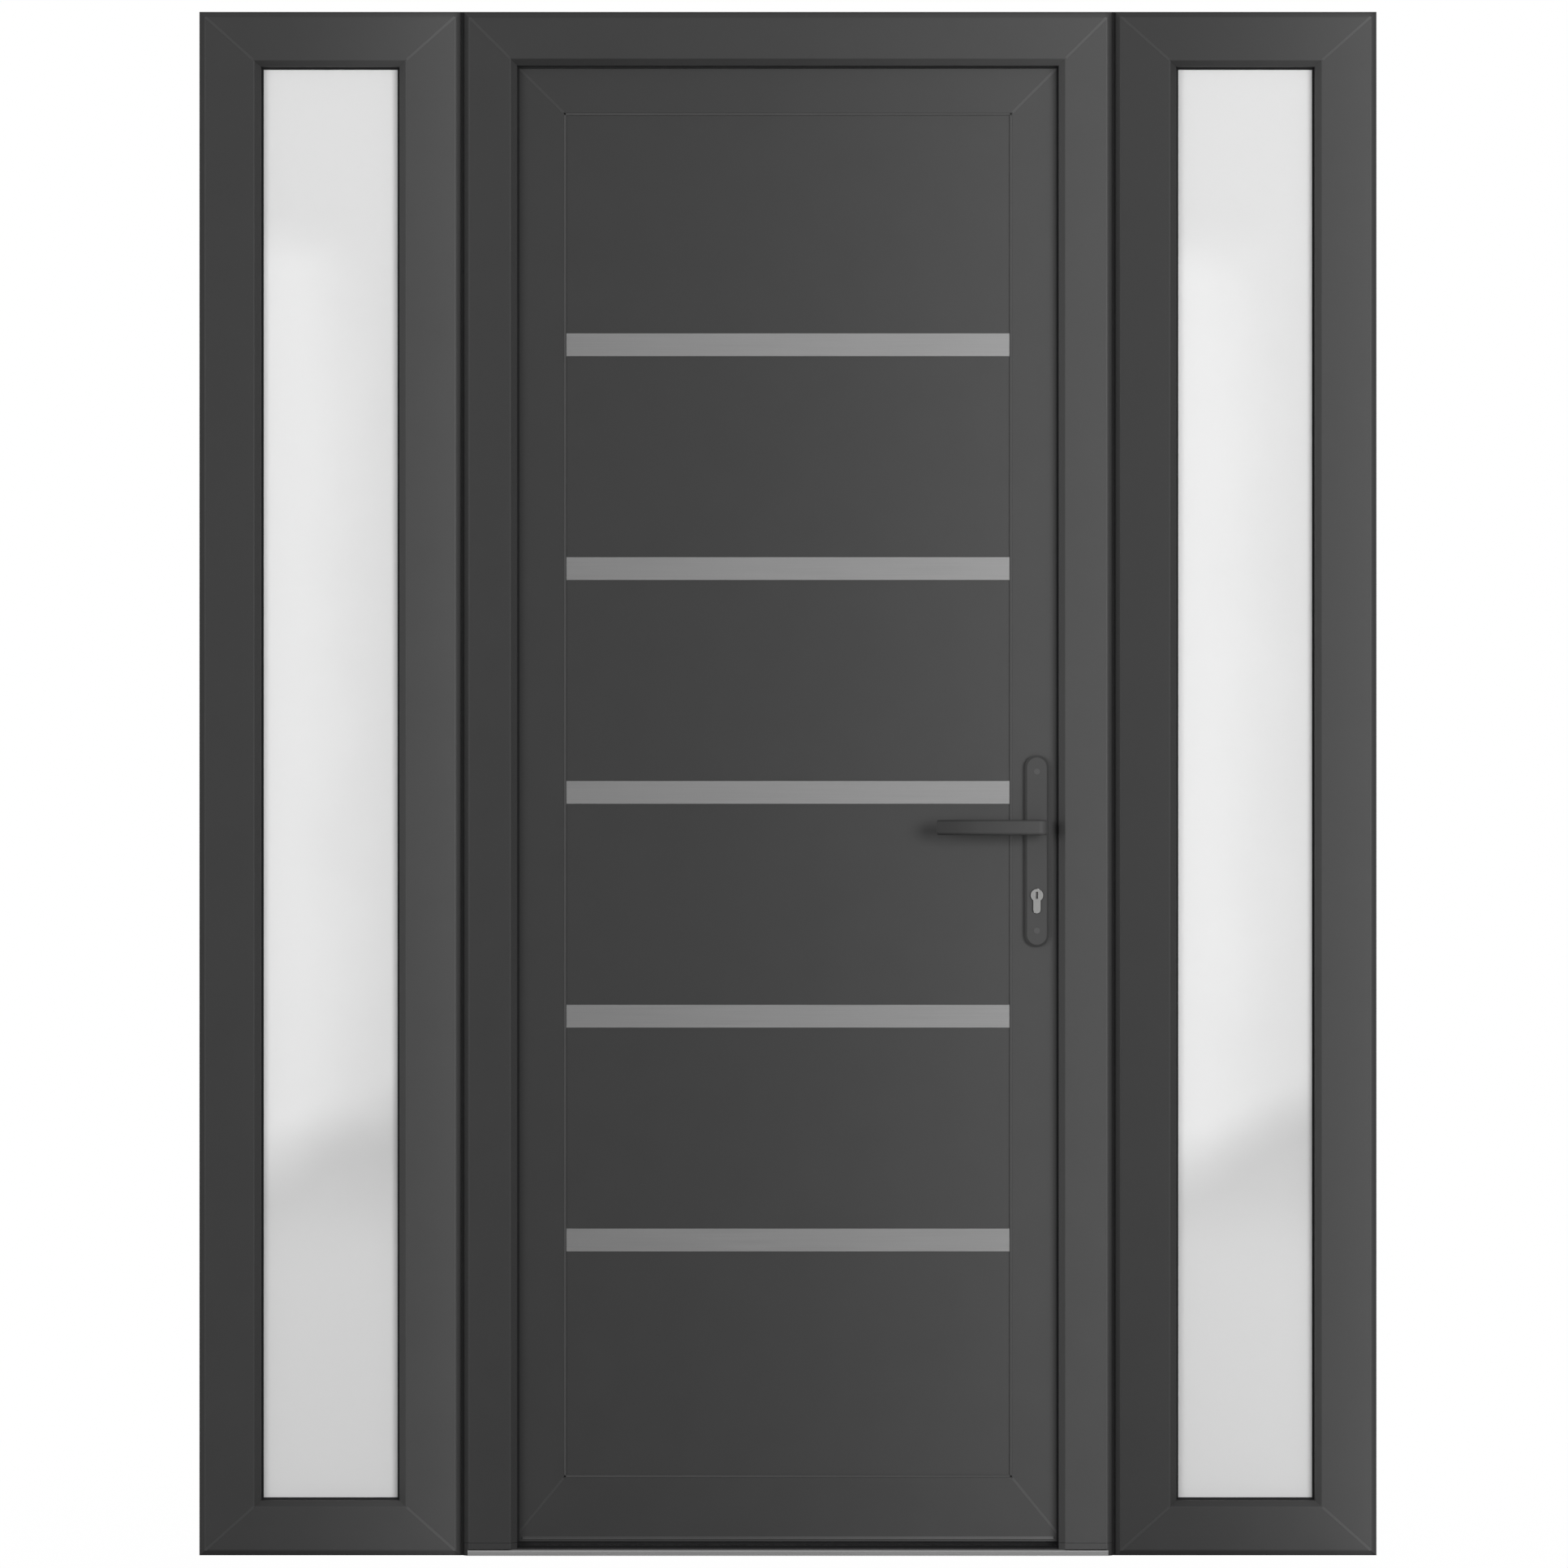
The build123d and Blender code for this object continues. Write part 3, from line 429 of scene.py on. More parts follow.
def extruded_pvc(name, span, low, high, box=None):
    """Through-coloured PVC-U, extruded and matt: the faintest orange peel and cloudy sheen, under a
    painted shade that runs from darker at the span's left end to lighter at its right.

    A unit's box, where given, adds painted shade on its outer shoulders."""
    material, tree, place = new_material(name)
    clouds = grain(tree, place, 60).outputs["Fac"]
    peel = grain(tree, place, 1.6, detail=1.0).outputs["Fac"]
    # Painted shade: the grey grows lighter from the unit's left end to its right end
    rise = slow_start(tree, across_unit(tree, place, span))
    colour = blended_colour(tree, rise, low, high)
    if box:
        # Painted shade on the unit's outer shoulders
        colour = shaded(tree, colour, painted_shoulder_shade(tree, place, box))
    shader = add_node(tree, "ShaderNodeBsdfPrincipled", {
        "Base Color": mottled(tree, colour, clouds, 0.05),
        "Roughness": roughness_around(tree, clouds, 0.40, 0.52),
        "Normal": bump(tree, peel, 0.12, 0.05),
    }, **{"IOR": 1.53, "Specular IOR Level": 0.2})
    finish_material(tree, shader)
    return material


def brushed_steel(name, span, low, high):
    """Stainless steel brushed along its length: long fine streaks under a soft sheen, and a painted shade
    from darker at the span's left end to lighter at its right.
    """
    material, tree, place = new_material(name)
    streaks = grain(tree, place, 1.2, detail=3.0, stretch=(0.01, 1, 1)).outputs["Fac"]
    colour = blended_colour(tree, across_unit(tree, place, span), low, high)
    shader = add_node(tree, "ShaderNodeBsdfPrincipled", {
        "Base Color": mottled(tree, colour, streaks, 0.10),
        "Roughness": roughness_around(tree, streaks, 0.34, 0.52),
        "Normal": bump(tree, streaks, 0.15, 0.03),
    }, Metallic=1.0)
    finish_material(tree, shader)
    return material


def anodised_aluminium(name, colour):
    """Extruded aluminium, etched and anodised: even, silky, with faint die lines."""
    material, tree, place = new_material(name)
    lines = grain(tree, place, 2.0, detail=2.0, stretch=(0.01, 1, 1)).outputs["Fac"]
    shader = add_node(tree, "ShaderNodeBsdfPrincipled", {
        "Base Color": mottled(tree, plain_colour(tree, colour), lines, 0.06),
        "Roughness": roughness_around(tree, lines, 0.38, 0.50),
        "Normal": bump(tree, lines, 0.1, 0.04),
    }, Metallic=1.0)
    finish_material(tree, shader)
    return material


def satin_glass(name, span):
    """Acid-etched float glass: milky, with a painted reflection of a soft pale sky over a darker low
    horizon.
    """
    material, tree, place = new_material(name)
    tone, size = settings("colours"), settings("sizes")
    height = add_node(tree, "ShaderNodeSeparateXYZ", {"Vector": place}).outputs["Z"]
    side = across_unit(tree, place, span)
    clouds = grain(tree, place, 260, detail=3.0).outputs["Fac"]
    # The painted reflection's heights wander with the clouds, and its horizon rises to the right
    wander = weighted_sum(tree, height, clouds, 0.10)
    rising = weighted_sum(tree, wander, side, -0.11)
    # Painted reflection of a pale sky, with a greyer veil towards its right side and top
    veil = weighted_sum(tree, side, clouds, 0.45)
    sky = blended_colour(tree, eased(tree, veil, 0.45, 1.1), tone.glass_reflection_light, tone.glass_reflection_side)
    upper = colours_mixed(tree, eased(tree, wander, size.top_low, size.top_high),
                          sky, plain_colour(tree, tone.glass_reflection_side))
    # Painted reflection of a greyer ground, deepest just under the horizon
    deep = weighted_sum(tree, rising, side, 0.13)
    ground = blended_colour(tree, eased(tree, deep, size.ground_high, size.ground_low),
                            tone.glass_reflection_deep, tone.glass_reflection_low)
    horizon = eased(tree, rising, size.horizon_low, size.horizon_high)
    etch = grain(tree, place, 0.9, detail=1.0).outputs["Fac"]
    shader = add_node(tree, "ShaderNodeBsdfPrincipled", {
        "Base Color": colours_mixed(tree, horizon, ground, upper),
        "Roughness": roughness_around(tree, clouds, 0.42, 0.55),
        "Normal": bump(tree, etch, 0.08, 0.02),
    }, **{"IOR": 1.52, "Transmission Weight": 0.06, "Coat Weight": 0.2, "Coat Roughness": 0.04})
    finish_material(tree, shader)
    return material


def gasket_rubber(name, colour):
    """Black EPDM, extruded: dull, with a faint bloom."""
    material, tree, place = new_material(name)
    bloom = grain(tree, place, 8).outputs["Fac"]
    shader = add_node(tree, "ShaderNodeBsdfPrincipled", {
        "Base Color": mottled(tree, plain_colour(tree, colour), bloom, 0.25),
        "Roughness": roughness_around(tree, bloom, 0.62, 0.80),
        "Normal": bump(tree, bloom, 0.2, 0.1),
    }, **{"Specular IOR Level": 0.25})
    finish_material(tree, shader)
    return material


def powder_coat(name, span, low, high):
    """Polyester powder coat on die-cast zinc: a fine even texture and a low gloss, and a painted shade
    from darker at the span's left end to lighter at its right.
    """
    material, tree, place = new_material(name)
    texture = grain(tree, place, 0.7, detail=1.5).outputs["Fac"]
    shader = add_node(tree, "ShaderNodeBsdfPrincipled", {
        "Base Color": blended_colour(tree, across_unit(tree, place, span), low, high),
        "Roughness": roughness_around(tree, texture, 0.52, 0.64),
        "Normal": bump(tree, texture, 0.22, 0.06),
    }, **{"IOR": 1.5, "Specular IOR Level": 0.3})
    finish_material(tree, shader)
    return material


def satin_plated(name, colour):
    """Plated steel or brass with a satin finish: soft metal with tiny scratches."""
    material, tree, place = new_material(name)
    scratch = grain(tree, place, 0.5, detail=3.0, stretch=(1, 1, 0.06)).outputs["Fac"]
    shader = add_node(tree, "ShaderNodeBsdfPrincipled", {
        "Base Color": mottled(tree, plain_colour(tree, colour), scratch, 0.08),
        "Roughness": roughness_around(tree, scratch, 0.28, 0.42),
        "Normal": bump(tree, scratch, 0.1, 0.02),
    }, Metallic=1.0)
    finish_material(tree, shader)
    return material


def unit_span(unit):
    """The two ends of a unit along X."""
    first, last = UNIT_NODES[unit]
    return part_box(first)[0].x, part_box(last)[1].x


def unit_box(unit):
    """The box of a unit that stands in the wall; None for the leaf and what it carries."""
    if unit not in WALL_UNITS:
        return None
    first, last = UNIT_NODES[unit]
    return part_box(first)[0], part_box(last)[1]


def unit_of(node):
    """The unit that a node belongs to."""
    if node.startswith("left_"):
        return "left"
    if node.startswith("right_"):
        return "right"
    bodies = body_of(frame["nodes"][node])
    return BODY_UNITS[bodies[0]]


def node_span(node):
    """The two ends of a node along X."""
    low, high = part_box(node)
    return low.x, high.x


def node_slots():
    """The record's material slot of each node."""
    return {part["node"]: part["material_slot"] for part in frame["record"]["subparts"]}


def toned_pvc(name, unit, left_lift=1.0, right_lift=1.0, box=None):
    """PVC-U of a unit, with its painted shade from left to right and its grey made lighter at each side
    by a factor.
    """
    tone = settings("colours")
    return extruded_pvc(name, unit_span(unit), [left_lift * part for part in tone.grey_left_painted_shade],
                        [right_lift * part for part in tone.grey_right_painted_light], box)


def coat_ends(unit):
    """The powder coat's colour at the two ends of a unit: painted shade, with the lever darkest at its
    tip.
    """
    tone = settings("colours")
    return (tone.lever_tip_painted_shade, tone.lever_heel_painted_light) if unit == "lever" else (tone.grey_left_painted_shade, tone.coat_right_painted_light)


def finish_makers(name, unit):
    """How each finish is made, by its name in the table of looks."""
    tone = settings("colours")
    seam, drip, lip = tone.seam_highlight_lift, tone.drip_highlight_lift, tone.lip_highlight_lift
    return {
        "extruded_pvc_": lambda: toned_pvc(name, unit, box=unit_box(unit)),
        # Painted highlight: the seams are lighter than the face beside them
        "dressed_weld_": lambda: toned_pvc(name, unit, seam, seam),
        "painted_head_": lambda: toned_pvc(name, unit, seam, seam),
        # Painted highlight on the drip lip
        "drip_pvc_": lambda: toned_pvc(name, unit, drip, drip),
        # Painted highlight on the panel's lip, fading out towards the right
        "lip_pvc_": lambda: toned_pvc(name, unit, lip),
        "powder_coat_": lambda: powder_coat(name, unit_span(unit), *coat_ends(unit)),
        "etched_glass_painted_reflection_": lambda: satin_glass(name, node_span(unit + "_sidelight_glass")),
        "brushed_stainless": lambda: brushed_steel(name, node_span("panel_strips"),
                                                   tone.steel_left_painted_shade, tone.steel_right_painted_light),
        "anodised_threshold": lambda: anodised_aluminium(name, tone.threshold),
        "anodised_spacer": lambda: anodised_aluminium(name, tone.threshold),
        "epdm_gasket": lambda: gasket_rubber(name, tone.rubber),
        "satin_nickel": lambda: satin_plated(name, tone.nickel),
        "zinc_plated_steel": lambda: satin_plated(name, tone.zinc),
    }


def look_of(slot, unit):
    """The finish of a slot on a unit, made when it is first asked for."""
    kind = LOOKS[slot]
    name = kind + unit if kind.endswith("_") else kind
    if name not in bpy.data.materials:
        finish_makers(name, unit)[kind]()
    return bpy.data.materials[name]


def deselect():
    """Nothing selected, in object mode."""
    if bpy.context.mode != "OBJECT":
        bpy.ops.object.mode_set(mode="OBJECT")
    bpy.ops.object.select_all(action="DESELECT")


def block(middle, size, turn=0.0):
    """A new block of a size at a place, turned about Y."""
    deselect()
    bpy.ops.mesh.primitive_cube_add(size=1, location=middle, rotation=(0, turn, 0))
    piece = bpy.context.object
    piece.scale = size
    bpy.ops.object.transform_apply(location=True, rotation=True, scale=True)
    return piece


def bevel_edges(piece, width, segments, axis, level):
    """Bevels the edges of a piece that lie at a level on an axis."""
    bpy.context.view_layer.objects.active = piece
    bpy.ops.object.mode_set(mode="EDIT")
    bpy.ops.mesh.select_all(action="DESELECT")
    bpy.ops.object.mode_set(mode="OBJECT")
    mesh = piece.data
    for edge in mesh.edges:
        ends = [getattr(mesh.vertices[index].co, axis) for index in edge.vertices]
        edge.select = all(abs(end - level) < TOUCH for end in ends)
    bpy.ops.object.mode_set(mode="EDIT")
    bpy.ops.mesh.select_mode(type="EDGE")
    bpy.ops.mesh.bevel(offset=width, segments=segments, affect="EDGES", clamp_overlap=True)
    bpy.ops.object.mode_set(mode="OBJECT")


def joined(pieces, name):
    """Several pieces made one, with the place in the mesh."""
    deselect()
    for piece in pieces:
        piece.select_set(True)
    bpy.context.view_layer.objects.active = pieces[0]
    if len(pieces) > 1:
        bpy.ops.object.join()
    result = bpy.context.view_layer.objects.active
    bpy.ops.object.transform_apply(location=True, rotation=True, scale=True)
    result.name = name
    result.data.name = name
    return result


def dress(piece, body, slot, unit, replaced=()):
    """Gives a new piece its finish and its body, and hides the nodes it replaces."""
    piece.data.materials.clear()
    piece.data.materials.append(look_of(slot, unit))
    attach(piece, body)
    if replaced:
        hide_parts(*replaced)


class DOORSET_OT_finishes(bpy.types.Operator):
    """Give each part of the frame, the leaf, the lever and the plug its finish"""
    bl_idname = "door_set.finishes"
    bl_label = "Finishes"

    def execute(self, context):
        for name, slot in node_slots().items():
            look = look_of(NODE_LOOKS.get(name, slot), unit_of(name))
            for holder in frame["nodes"][name].material_slots:
                holder.material = look
        return {"FINISHED"}


def seam(start, end, width, height, face_y, outward):
    """A low rounded weld seam lying on a face between two points given as (x, z)."""
    run = Vector((end[0] - start[0], 0, end[1] - start[1]))
    middle = ((start[0] + end[0]) / 2, face_y + outward * height / 2, (start[1] + end[1]) / 2)
    turn = math.atan2(-run.z, run.x)
    piece = block(middle, (run.length, height, width), turn)
    bevel_edges(piece, height * SEAM_EDGE, 2, "y", face_y + outward * height)
    return piece


def unit_corners(left, right, top, bottom):
    """The corners of a unit whose members are four nodes, as outer and inner (x, z) points.

    A bottom member given as None has no corners there. A narrower bottom member has no lip,
    and its mitres start at its own ends."""
    corners = []
    for upright, is_left in ((left, True), (right, False)):
        low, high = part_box(upright)
        outer_x, inner_x = (low.x, high.x) if is_left else (high.x, low.x)
        rail_low, rail_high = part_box(top)
        corners.append(((outer_x, rail_high.z), (inner_x, rail_low.z)))
        if bottom:
            rail_low, rail_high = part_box(bottom)
            end_x = rail_low.x if is_left else rail_high.x
            corners.append(((end_x, rail_low.z), (inner_x, rail_high.z)))
    return corners


def shortened(corner, outer_cut, inner_cut):
    """A mitre line between cuts measured along X from its outer and inner ends."""
    (x0, z0), (x1, z1) = corner
    span = abs(x1 - x0)
    first, last = outer_cut / span, 1 - inner_cut / span
    return ((x0 + (x1 - x0) * first, z0 + (z1 - z0) * first),
            (x0 + (x1 - x0) * last, z0 + (z1 - z0) * last))


def front_seam_cuts(corner, on_leaf):
    """The cuts of a front seam: past the shoulder or the frame's leg, and short of the infill."""
    size = settings("sizes")
    if not on_leaf:
        return size.seam_start, size.seam_end
    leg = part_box("hinge_jamb")[1]
    return abs(corner[0][0]) - abs(leg.x) + size.seam_leg_gap, size.leaf_seam_end


class DOORSET_OT_weld_seams(bpy.types.Operator):
    """Add the dressed weld seams along the mitres, outdoors and indoors"""
    bl_idname = "door_set.weld_seams"
    bl_label = "Weld seams"

    def execute(self, context):
        size = settings("sizes")
        for name, (unit, members) in WELDED_FRAMES.items():
            on_leaf = unit == "leaf"
            low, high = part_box(members[0])
            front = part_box("bottom_rail")[0].y if on_leaf else low.y
            seams = []
            for corner in unit_corners(*members):
                cuts = (front_seam_cuts(corner, on_leaf), (size.back_seam_start, size.back_seam_end))
                for (first, last), face_y, outward in zip(cuts, (front, high.y), (-1, 1)):
                    start, end = shortened(corner, first, last)
                    seams.append(seam(start, end, size.seam_width, size.seam_height,
                                      face_y, outward))
            dress(joined(seams, name + "_weld_seams"), "leaf" if on_leaf else "frame",
                  "weld_seam", unit)
        return {"FINISHED"}


class DOORSET_OT_panel_lip(bpy.types.Operator):
    """Add the gasket lip that closes the joint between the leaf's profile and the panel, lighter than the
    leaf as a painted highlight
    """
    bl_idname = "door_set.panel_lip"
    bl_label = "Panel lip"

    def execute(self, context):
        size = settings("sizes")
        left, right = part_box("hinge_stile")[1].x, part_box("lock_stile")[0].x
        bottom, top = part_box("bottom_rail")[1].z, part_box("top_rail")[0].z
        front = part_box("bottom_rail")[0].y + size.lip_below
        inward = size.lip_over - size.lip_width / 2
        middle_x, middle_z = (left + right) / 2, (bottom + top) / 2
        wide = right - left - 2 * inward + size.lip_width
        tall = top - bottom - 2 * inward + size.lip_width
        bars = []
        for x in (left + inward, right - inward):
            bars.append(block((x, front + size.lip_depth / 2, middle_z),
                              (size.lip_width, size.lip_depth, tall)))
        for z in (bottom + inward, top - inward):
            bars.append(block((middle_x, front + size.lip_depth / 2, z),
                              (wide, size.lip_depth, size.lip_width)))
        for bar in bars:
            bevel_edges(bar, size.lip_depth / 3, 3, "y", front)
        # Painted highlight: the lip is lighter than the leaf, most at its left end
        dress(joined(bars, "panel_gasket_lip"), "leaf", "lip", "leaf")
        return {"FINISHED"}


class DOORSET_OT_strips(bpy.types.Operator):
    """Replace the plain strips with strips whose edges are broken"""
    bl_idname = "door_set.strips"
    bl_label = "Brushed strips"

    def execute(self, context):
        strips = []
        for low, high in solid_boxes(frame["nodes"]["panel_strips"]):
            strip = block((low + high) / 2, high - low)
            bevel_edges(strip, settings("sizes").strip_edge, 2, "y", low.y)
            strips.append(strip)
        dress(joined(strips, "brushed_strips"), "leaf", "brushed_strip", "leaf", ["panel_strips"])
        return {"FINISHED"}


def solid_boxes(node):
    """The box of each separate solid in a node's mesh, sorted by height."""
    mesh = node.data
    group = list(range(len(mesh.vertices)))

    def root(index):
        while group[index] != index:
            group[index] = group[group[index]]
            index = group[index]
        return index

    by_place = {}
    for vertex in mesh.vertices:
        key = tuple(round(value, ROUNDED_DIGITS) for value in vertex.co)
        if key in by_place:
            group[root(vertex.index)] = root(by_place[key])
        else:
            by_place[key] = vertex.index
    for edge in mesh.edges:
        group[root(edge.vertices[0])] = root(edge.vertices[1])
    boxes = {}
    for vertex in mesh.vertices:
        key = root(vertex.index)
        low, high = boxes.get(key, (vertex.co.copy(), vertex.co.copy()))
        boxes[key] = (Vector(map(min, low, vertex.co)), Vector(map(max, high, vertex.co)))
    return sorted(boxes.values(), key=lambda pair: (pair[0].z, pair[0].x, pair[0].y))


def screw_head(place, radius, stand, facing):
    """A countersunk screw head with a cross recess at a place on a face.

    It is made facing -Y and turned about Z by the angle facing."""
    deselect()
    depth = stand * SCREW_DEPTH
    bpy.ops.mesh.primitive_cylinder_add(vertices=32, radius=radius, depth=depth,
                                        location=(0, depth / 2 - stand, 0),
                                        rotation=(math.pi / 2, 0, 0))
    head = bpy.context.object
    bpy.ops.object.transform_apply(location=True, rotation=True, scale=True)
    bevel_edges(head, stand * SCREW_EDGE, 3, "y", -stand)
    length = radius * RECESS_LENGTH
    for half_x, half_z in ((length, length * RECESS_WIDTH), (length * RECESS_WIDTH, length)):
        tool = block((0, -stand, 0), (2 * half_x, 2 * stand * RECESS_DEPTH, 2 * half_z))
        cut = head.modifiers.new("recess", "BOOLEAN")
        cut.operation = "DIFFERENCE"
        cut.object = tool
        deselect()
        bpy.context.view_layer.objects.active = head
        bpy.ops.object.modifier_apply(modifier="recess")
        bpy.data.objects.remove(tool)
    head.rotation_euler = (0, 0, facing)
    head.location = place
    return joined([head], "screw_head")


class DOORSET_OT_lock_screws(bpy.types.Operator):
    """Add the screws of the lock's faceplate and of its keeps"""
    bl_idname = "door_set.lock_screws"
    bl_label = "Lock screws"

    def execute(self, context):
        size = settings("sizes")
        low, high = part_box("lock_faceplate")
        middle_y = (low.y + high.y) / 2
        heights = [low.z + size.lock_screw_end, high.z - size.lock_screw_end]
        for bolt_low, bolt_high in solid_boxes(frame["nodes"]["lock_bolts"]):
            heights += [bolt_low.z - size.lock_screw_gap, bolt_high.z + size.lock_screw_gap]
        heads = [screw_head(Vector((high.x, middle_y, height)), size.lock_screw_radius,
                            size.lock_screw_stand, TO_THE_RIGHT) for height in heights]
        dress(joined(heads, "lock_faceplate_screws"), "leaf", "zinc_steel", "leaf")
        heads = []
        for low, high in solid_boxes(frame["nodes"]["lock_keeps"]):
            middle_y = (low.y + high.y) / 2
            for height in (low.z + size.lock_screw_end, high.z - size.lock_screw_end):
                heads.append(screw_head(Vector((low.x, middle_y, height)), size.lock_screw_radius,
                                        size.lock_screw_stand, TO_THE_LEFT))
        dress(joined(heads, "lock_keep_screws"), "frame", "zinc_steel", "middle")
        return {"FINISHED"}


class DOORSET_OT_hinge_caps(bpy.types.Operator):
    """Add the caps that close the ends of each hinge's knuckles"""
    bl_idname = "door_set.hinge_caps"
    bl_label = "Hinge caps"

    def execute(self, context):
        size = settings("sizes")
        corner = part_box("leaf_hinge_parts")[0]
        axis_x, axis_y = corner.x + size.knuckle_radius, corner.y + size.knuckle_radius
        for node, body, upward in (("leaf_hinge_parts", "leaf", 1),
                                   ("frame_hinge_parts", "frame", -1)):
            caps = []
            for low, high in solid_boxes(frame["nodes"][node]):
                end = high.z if upward > 0 else low.z
                middle = (axis_x, axis_y, end + upward * size.cap_height / 2)
                deselect()
                bpy.ops.mesh.primitive_cylinder_add(vertices=48, radius=size.cap_radius,
                                                    depth=size.cap_height, location=middle)
                cap = joined([bpy.context.object], "cap")
                bevel_edges(cap, size.cap_height * CAP_EDGE, 3, "z",
                            end + upward * size.cap_height)
                caps.append(cap)
            dress(joined(caps, node + "_caps"), body, "grey_powder_coat", BODY_UNITS[body])
        return {"FINISHED"}


class DOORSET_OT_handle_screws(bpy.types.Operator):
    """Add the screw heads at the ends of both backplates"""
    bl_idname = "door_set.handle_screws"
    bl_label = "Handle screws"

    def execute(self, context):
        size = settings("sizes")
        for node, facing in (("outer_backplate", OUTDOORS), ("inner_backplate", INDOORS)):
            low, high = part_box(node)
            face = low.y if facing == OUTDOORS else high.y
            heads = []
            for height in (low.z + size.plate_screw_end, high.z - size.plate_screw_end):
                place = Vector(((low.x + high.x) / 2, face, height))
                heads.append(screw_head(place, size.screw_radius, size.screw_stand, facing))
            dress(joined(heads, node + "_screws"), "leaf", "painted_head", "leaf")
        return {"FINISHED"}


class DOORSET_OT_hinge_screws(bpy.types.Operator):
    """Add the screw heads on both halves of each hinge"""
    bl_idname = "door_set.hinge_screws"
    bl_label = "Hinge screws"

    def execute(self, context):
        size = settings("sizes")
        jamb_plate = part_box("hinge_jamb")[1].y + size.hinge_plate
        for node, body in (("leaf_hinge_parts", "leaf"), ("frame_hinge_parts", "frame")):
            heads = []
            for low, high in solid_boxes(frame["nodes"][node]):
                face = high.y if body == "leaf" else jamb_plate
                edge = high.x - size.leaf_screw_inset if body == "leaf" else low.x + size.jamb_screw_inset
                for share in HINGE_SCREW_SHARES:
                    height = low.z + (high.z - low.z) * share
                    heads.append(screw_head(Vector((edge, face, height)),
                                            size.hinge_screw_radius, size.screw_stand, INDOORS))
            dress(joined(heads, node + "_screws"), body, "zinc_steel", BODY_UNITS[body])
        return {"FINISHED"}


class DOORSET_OT_stage(bpy.types.Operator):
    """Add the floor, the soft studio light and the camera at the photograph's angle"""
    bl_idname = "door_set.stage"
    bl_label = "Stage"

    def execute(self, context):
        deselect()
        stage = settings("stage")
        bpy.ops.mesh.primitive_plane_add(size=FLOOR_SIDE, location=(0, 0, 0))
        floor = bpy.context.object
        floor.name = "floor"
        floor.data.materials.append(floor_material())
        area_light("key", KEY_PLACE, FRONT_AIM, FRONT_BOX_SIDE, stage.key_power)
        area_light("fill", FILL_PLACE, FRONT_AIM, FRONT_BOX_SIDE, stage.fill_power)
        back = area_light("back", BACK_PLACE, BACK_AIM, BACK_BOX_SIDE, stage.back_power)
        back.visible_glossy = False
        world_light(stage.world_strength)
        photo_camera(stage.lens)
        context.scene.view_settings.view_transform = "Standard"
        return {"FINISHED"}


def floor_material():
    """Matt white studio floor that keeps soft shadows near the door and ends as white as the air."""
    material, tree, place = new_material("studio_floor")
    tone, size, stage = settings("colours"), settings("sizes"), settings("stage")
    dust = grain(tree, place, 300).outputs["Fac"]
    reach = add_node(tree, "ShaderNodeVectorMath", {0: place}, operation="LENGTH").outputs["Value"]
    fade = add_node(tree, "ShaderNodeMapRange", {"Value": reach}, interpolation_type="SMOOTHSTEP",
                    **{"From Min": size.floor_near, "From Max": size.floor_far,
                       "To Min": stage.floor_glow, "To Max": 1.0})
    clouds = blended_colour(tree, dust, tone.floor_dark, tone.floor_light)
    colour = mottled(tree, clouds, dust, 0.01)
    paint = add_node(tree, "ShaderNodeBsdfDiffuse", {"Color": colour})
    glow = add_node(tree, "ShaderNodeEmission", Color=(1, 1, 1, 1), Strength=1.0)
    seen = add_node(tree, "ShaderNodeLightPath")
    share = add_node(tree, "ShaderNodeMath", {0: seen.outputs["Is Camera Ray"], 1: fade.outputs[0]},
                     operation="MULTIPLY")
    shown = add_node(tree, "ShaderNodeMixShader", {0: share.outputs[0], 1: paint.outputs[0],
                                                   2: glow.outputs[0]})
    finish_material(tree, shown)
    return material


def area_light(name, place, aim, side, power):
    """A square soft light at a place, turned towards a point."""
    bpy.ops.object.light_add(type="AREA", location=place)
    lamp = bpy.context.object
    lamp.name = name
    lamp.data.shape = "SQUARE"
    lamp.data.size = side
    lamp.data.energy = power
    lamp.rotation_euler = (Vector(aim) - Vector(place)).to_track_quat("-Z", "Y").to_euler()
    return lamp


def world_light(strength):
    """Dim even surroundings, white where the camera, a reflection or a pane sees them."""
    world = bpy.data.worlds.new("studio")
    bpy.context.scene.world = world
    world.use_nodes = True
    tree = world.node_tree
    tree.nodes.clear()
    seen = add_node(tree, "ShaderNodeLightPath")
    either = add_node(tree, "ShaderNodeMath", {0: seen.outputs["Is Camera Ray"],
                                               1: seen.outputs["Is Glossy Ray"]},
                      operation="MAXIMUM")
    any_seen = add_node(tree, "ShaderNodeMath", {0: either.outputs[0],
                                                 1: seen.outputs["Is Transmission Ray"]},
                        operation="MAXIMUM")
    level = add_node(tree, "ShaderNodeMapRange", {"Value": any_seen.outputs[0]},
                     **{"To Min": strength, "To Max": 1.0})
    glow = add_node(tree, "ShaderNodeBackground", {"Strength": level.outputs[0]},
                    Color=(1, 1, 1, 1))
    add_node(tree, "ShaderNodeOutputWorld", {"Surface": glow.outputs[0]})


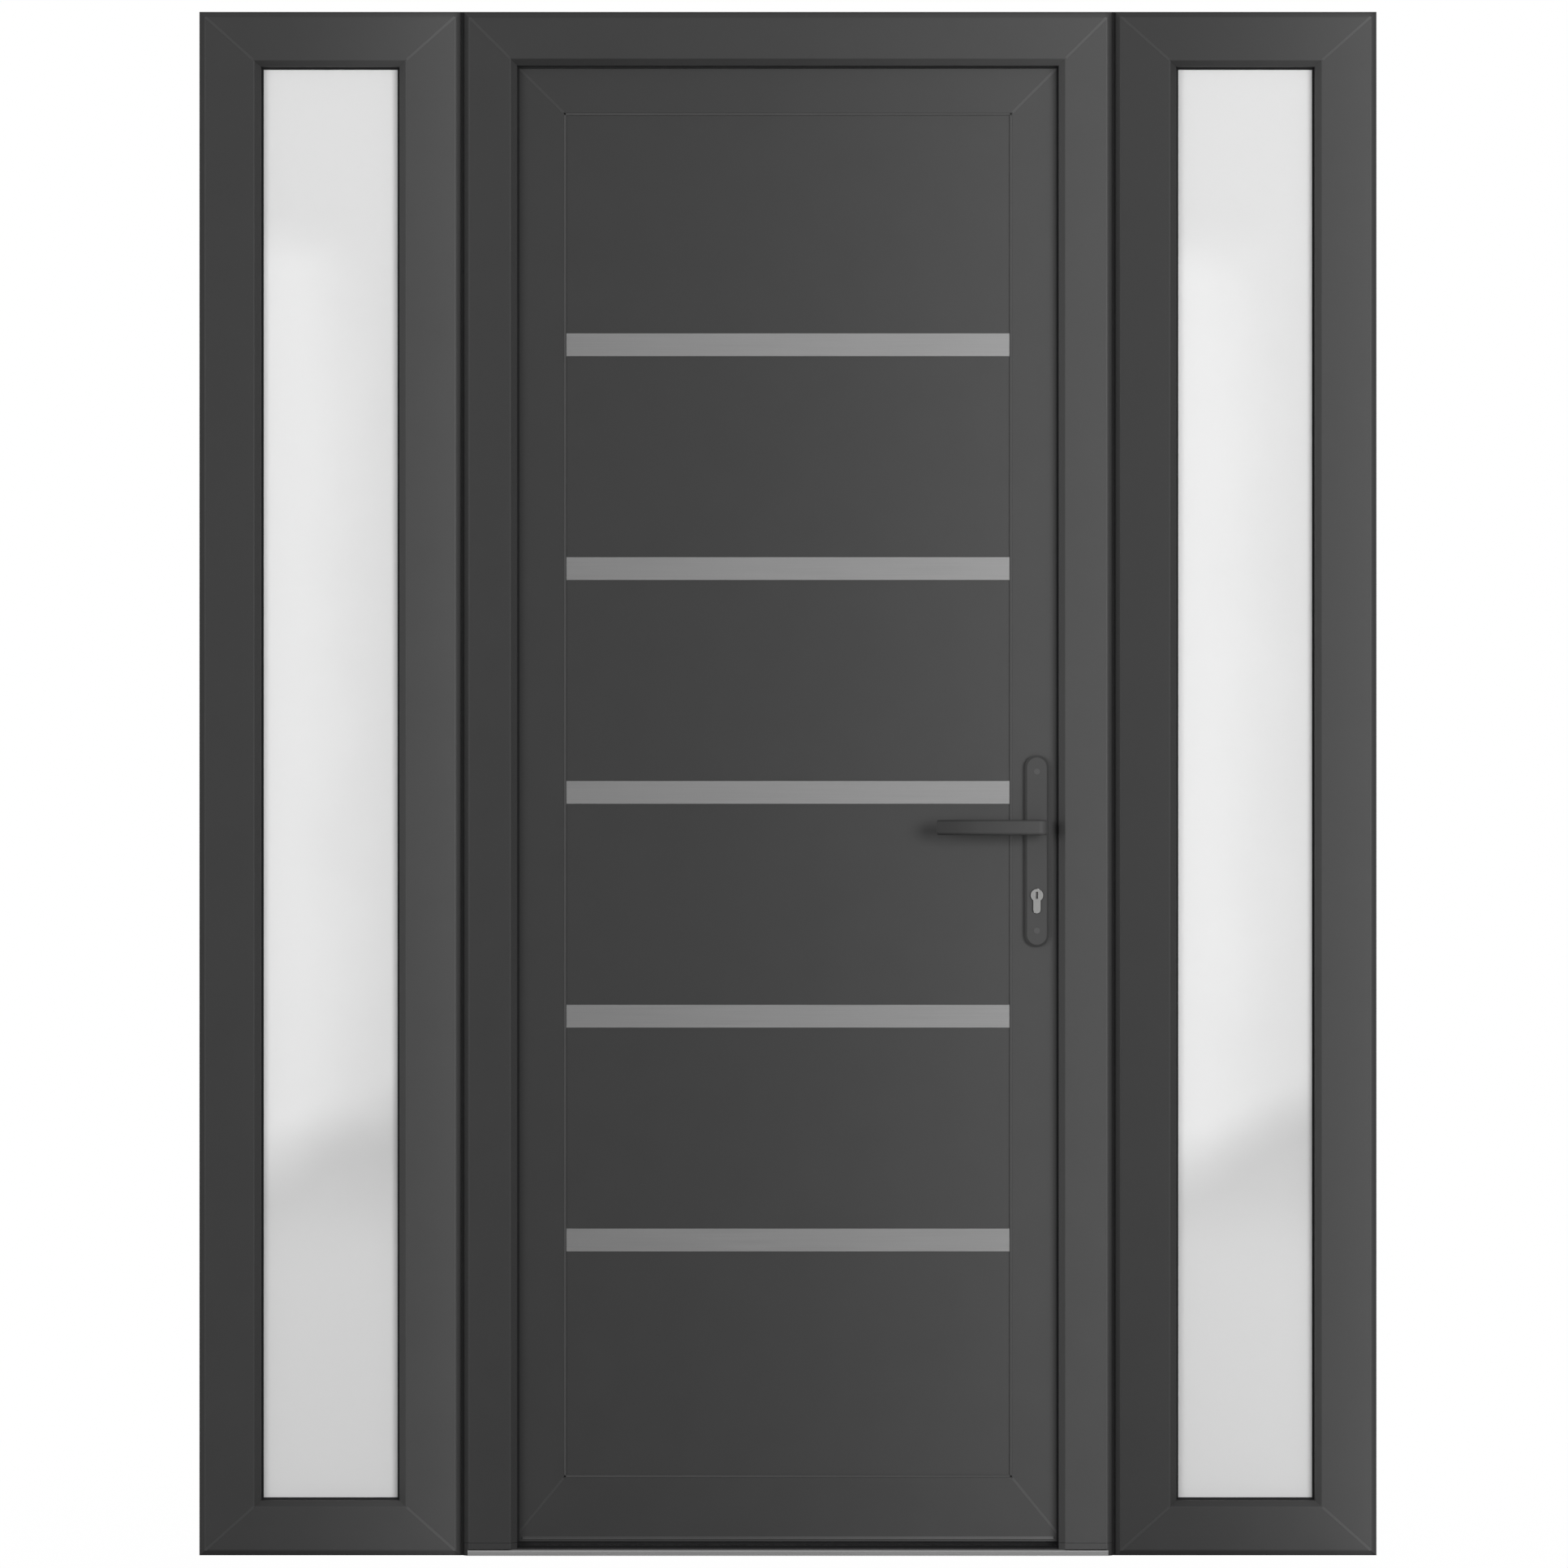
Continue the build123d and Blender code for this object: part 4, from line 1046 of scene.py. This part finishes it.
def photo_camera(lens):
    """A long-lens camera that frames the door front as the photograph does."""
    pixel = PHOTO_MM_PER_PIXEL * MM
    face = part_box("hinge_jamb")[0].y
    distance = PHOTO_SIDE * pixel * lens / CAMERA_SENSOR
    centre_x = (PHOTO_SIDE / 2 - PHOTO_CENTRE_X) * pixel
    centre_z = (PHOTO_GROUND_Y - PHOTO_SIDE / 2) * pixel
    bpy.ops.object.camera_add(location=(centre_x, face - distance, centre_z),
                              rotation=(math.pi / 2, 0, 0))
    camera = bpy.context.object
    camera.name = "photo_camera"
    camera.data.lens = lens
    camera.data.sensor_width = CAMERA_SENSOR
    camera.data.clip_end = CAMERA_CLIP_END
    bpy.context.scene.camera = camera


class DOORSET_PT_panel(bpy.types.Panel):
    """Lists the door set's pieces and settings"""
    bl_label = "Door Set"
    bl_idname = "DOORSET_PT_panel"
    bl_space_type = "VIEW_3D"
    bl_region_type = "UI"
    bl_category = "Door Set"

    def draw(self, context):
        for operator in STEPS:
            self.layout.operator(operator.bl_idname)
        for part in GROUPS:
            group = settings(part)
            box = self.layout.box()
            for key in group.__annotations__:
                box.prop(group, key)


GROUPS = {"colours": DOORSET_PG_colours, "sizes": DOORSET_PG_sizes, "stage": DOORSET_PG_stage}
STEPS = (DOORSET_OT_finishes, DOORSET_OT_weld_seams, DOORSET_OT_panel_lip, DOORSET_OT_strips,
         DOORSET_OT_handle_screws, DOORSET_OT_hinge_screws, DOORSET_OT_lock_screws,
         DOORSET_OT_hinge_caps, DOORSET_OT_stage)


def register():
    """Registers the add-on's classes and settings."""
    for item in (*GROUPS.values(), *STEPS, DOORSET_PT_panel):
        bpy.utils.register_class(item)
    for part, group in GROUPS.items():
        setattr(bpy.types.Scene, "door_set_" + part, PointerProperty(type=group))


def unregister():
    """Removes the add-on's classes and settings."""
    for part in GROUPS:
        delattr(bpy.types.Scene, "door_set_" + part)
    for item in reversed((*GROUPS.values(), *STEPS, DOORSET_PT_panel)):
        bpy.utils.unregister_class(item)


def main():
    register()
    for step in STEPS:
        group, name = step.bl_idname.split(".")
        getattr(getattr(bpy.ops, group), name)()


if __name__ == "__main__":
    main()
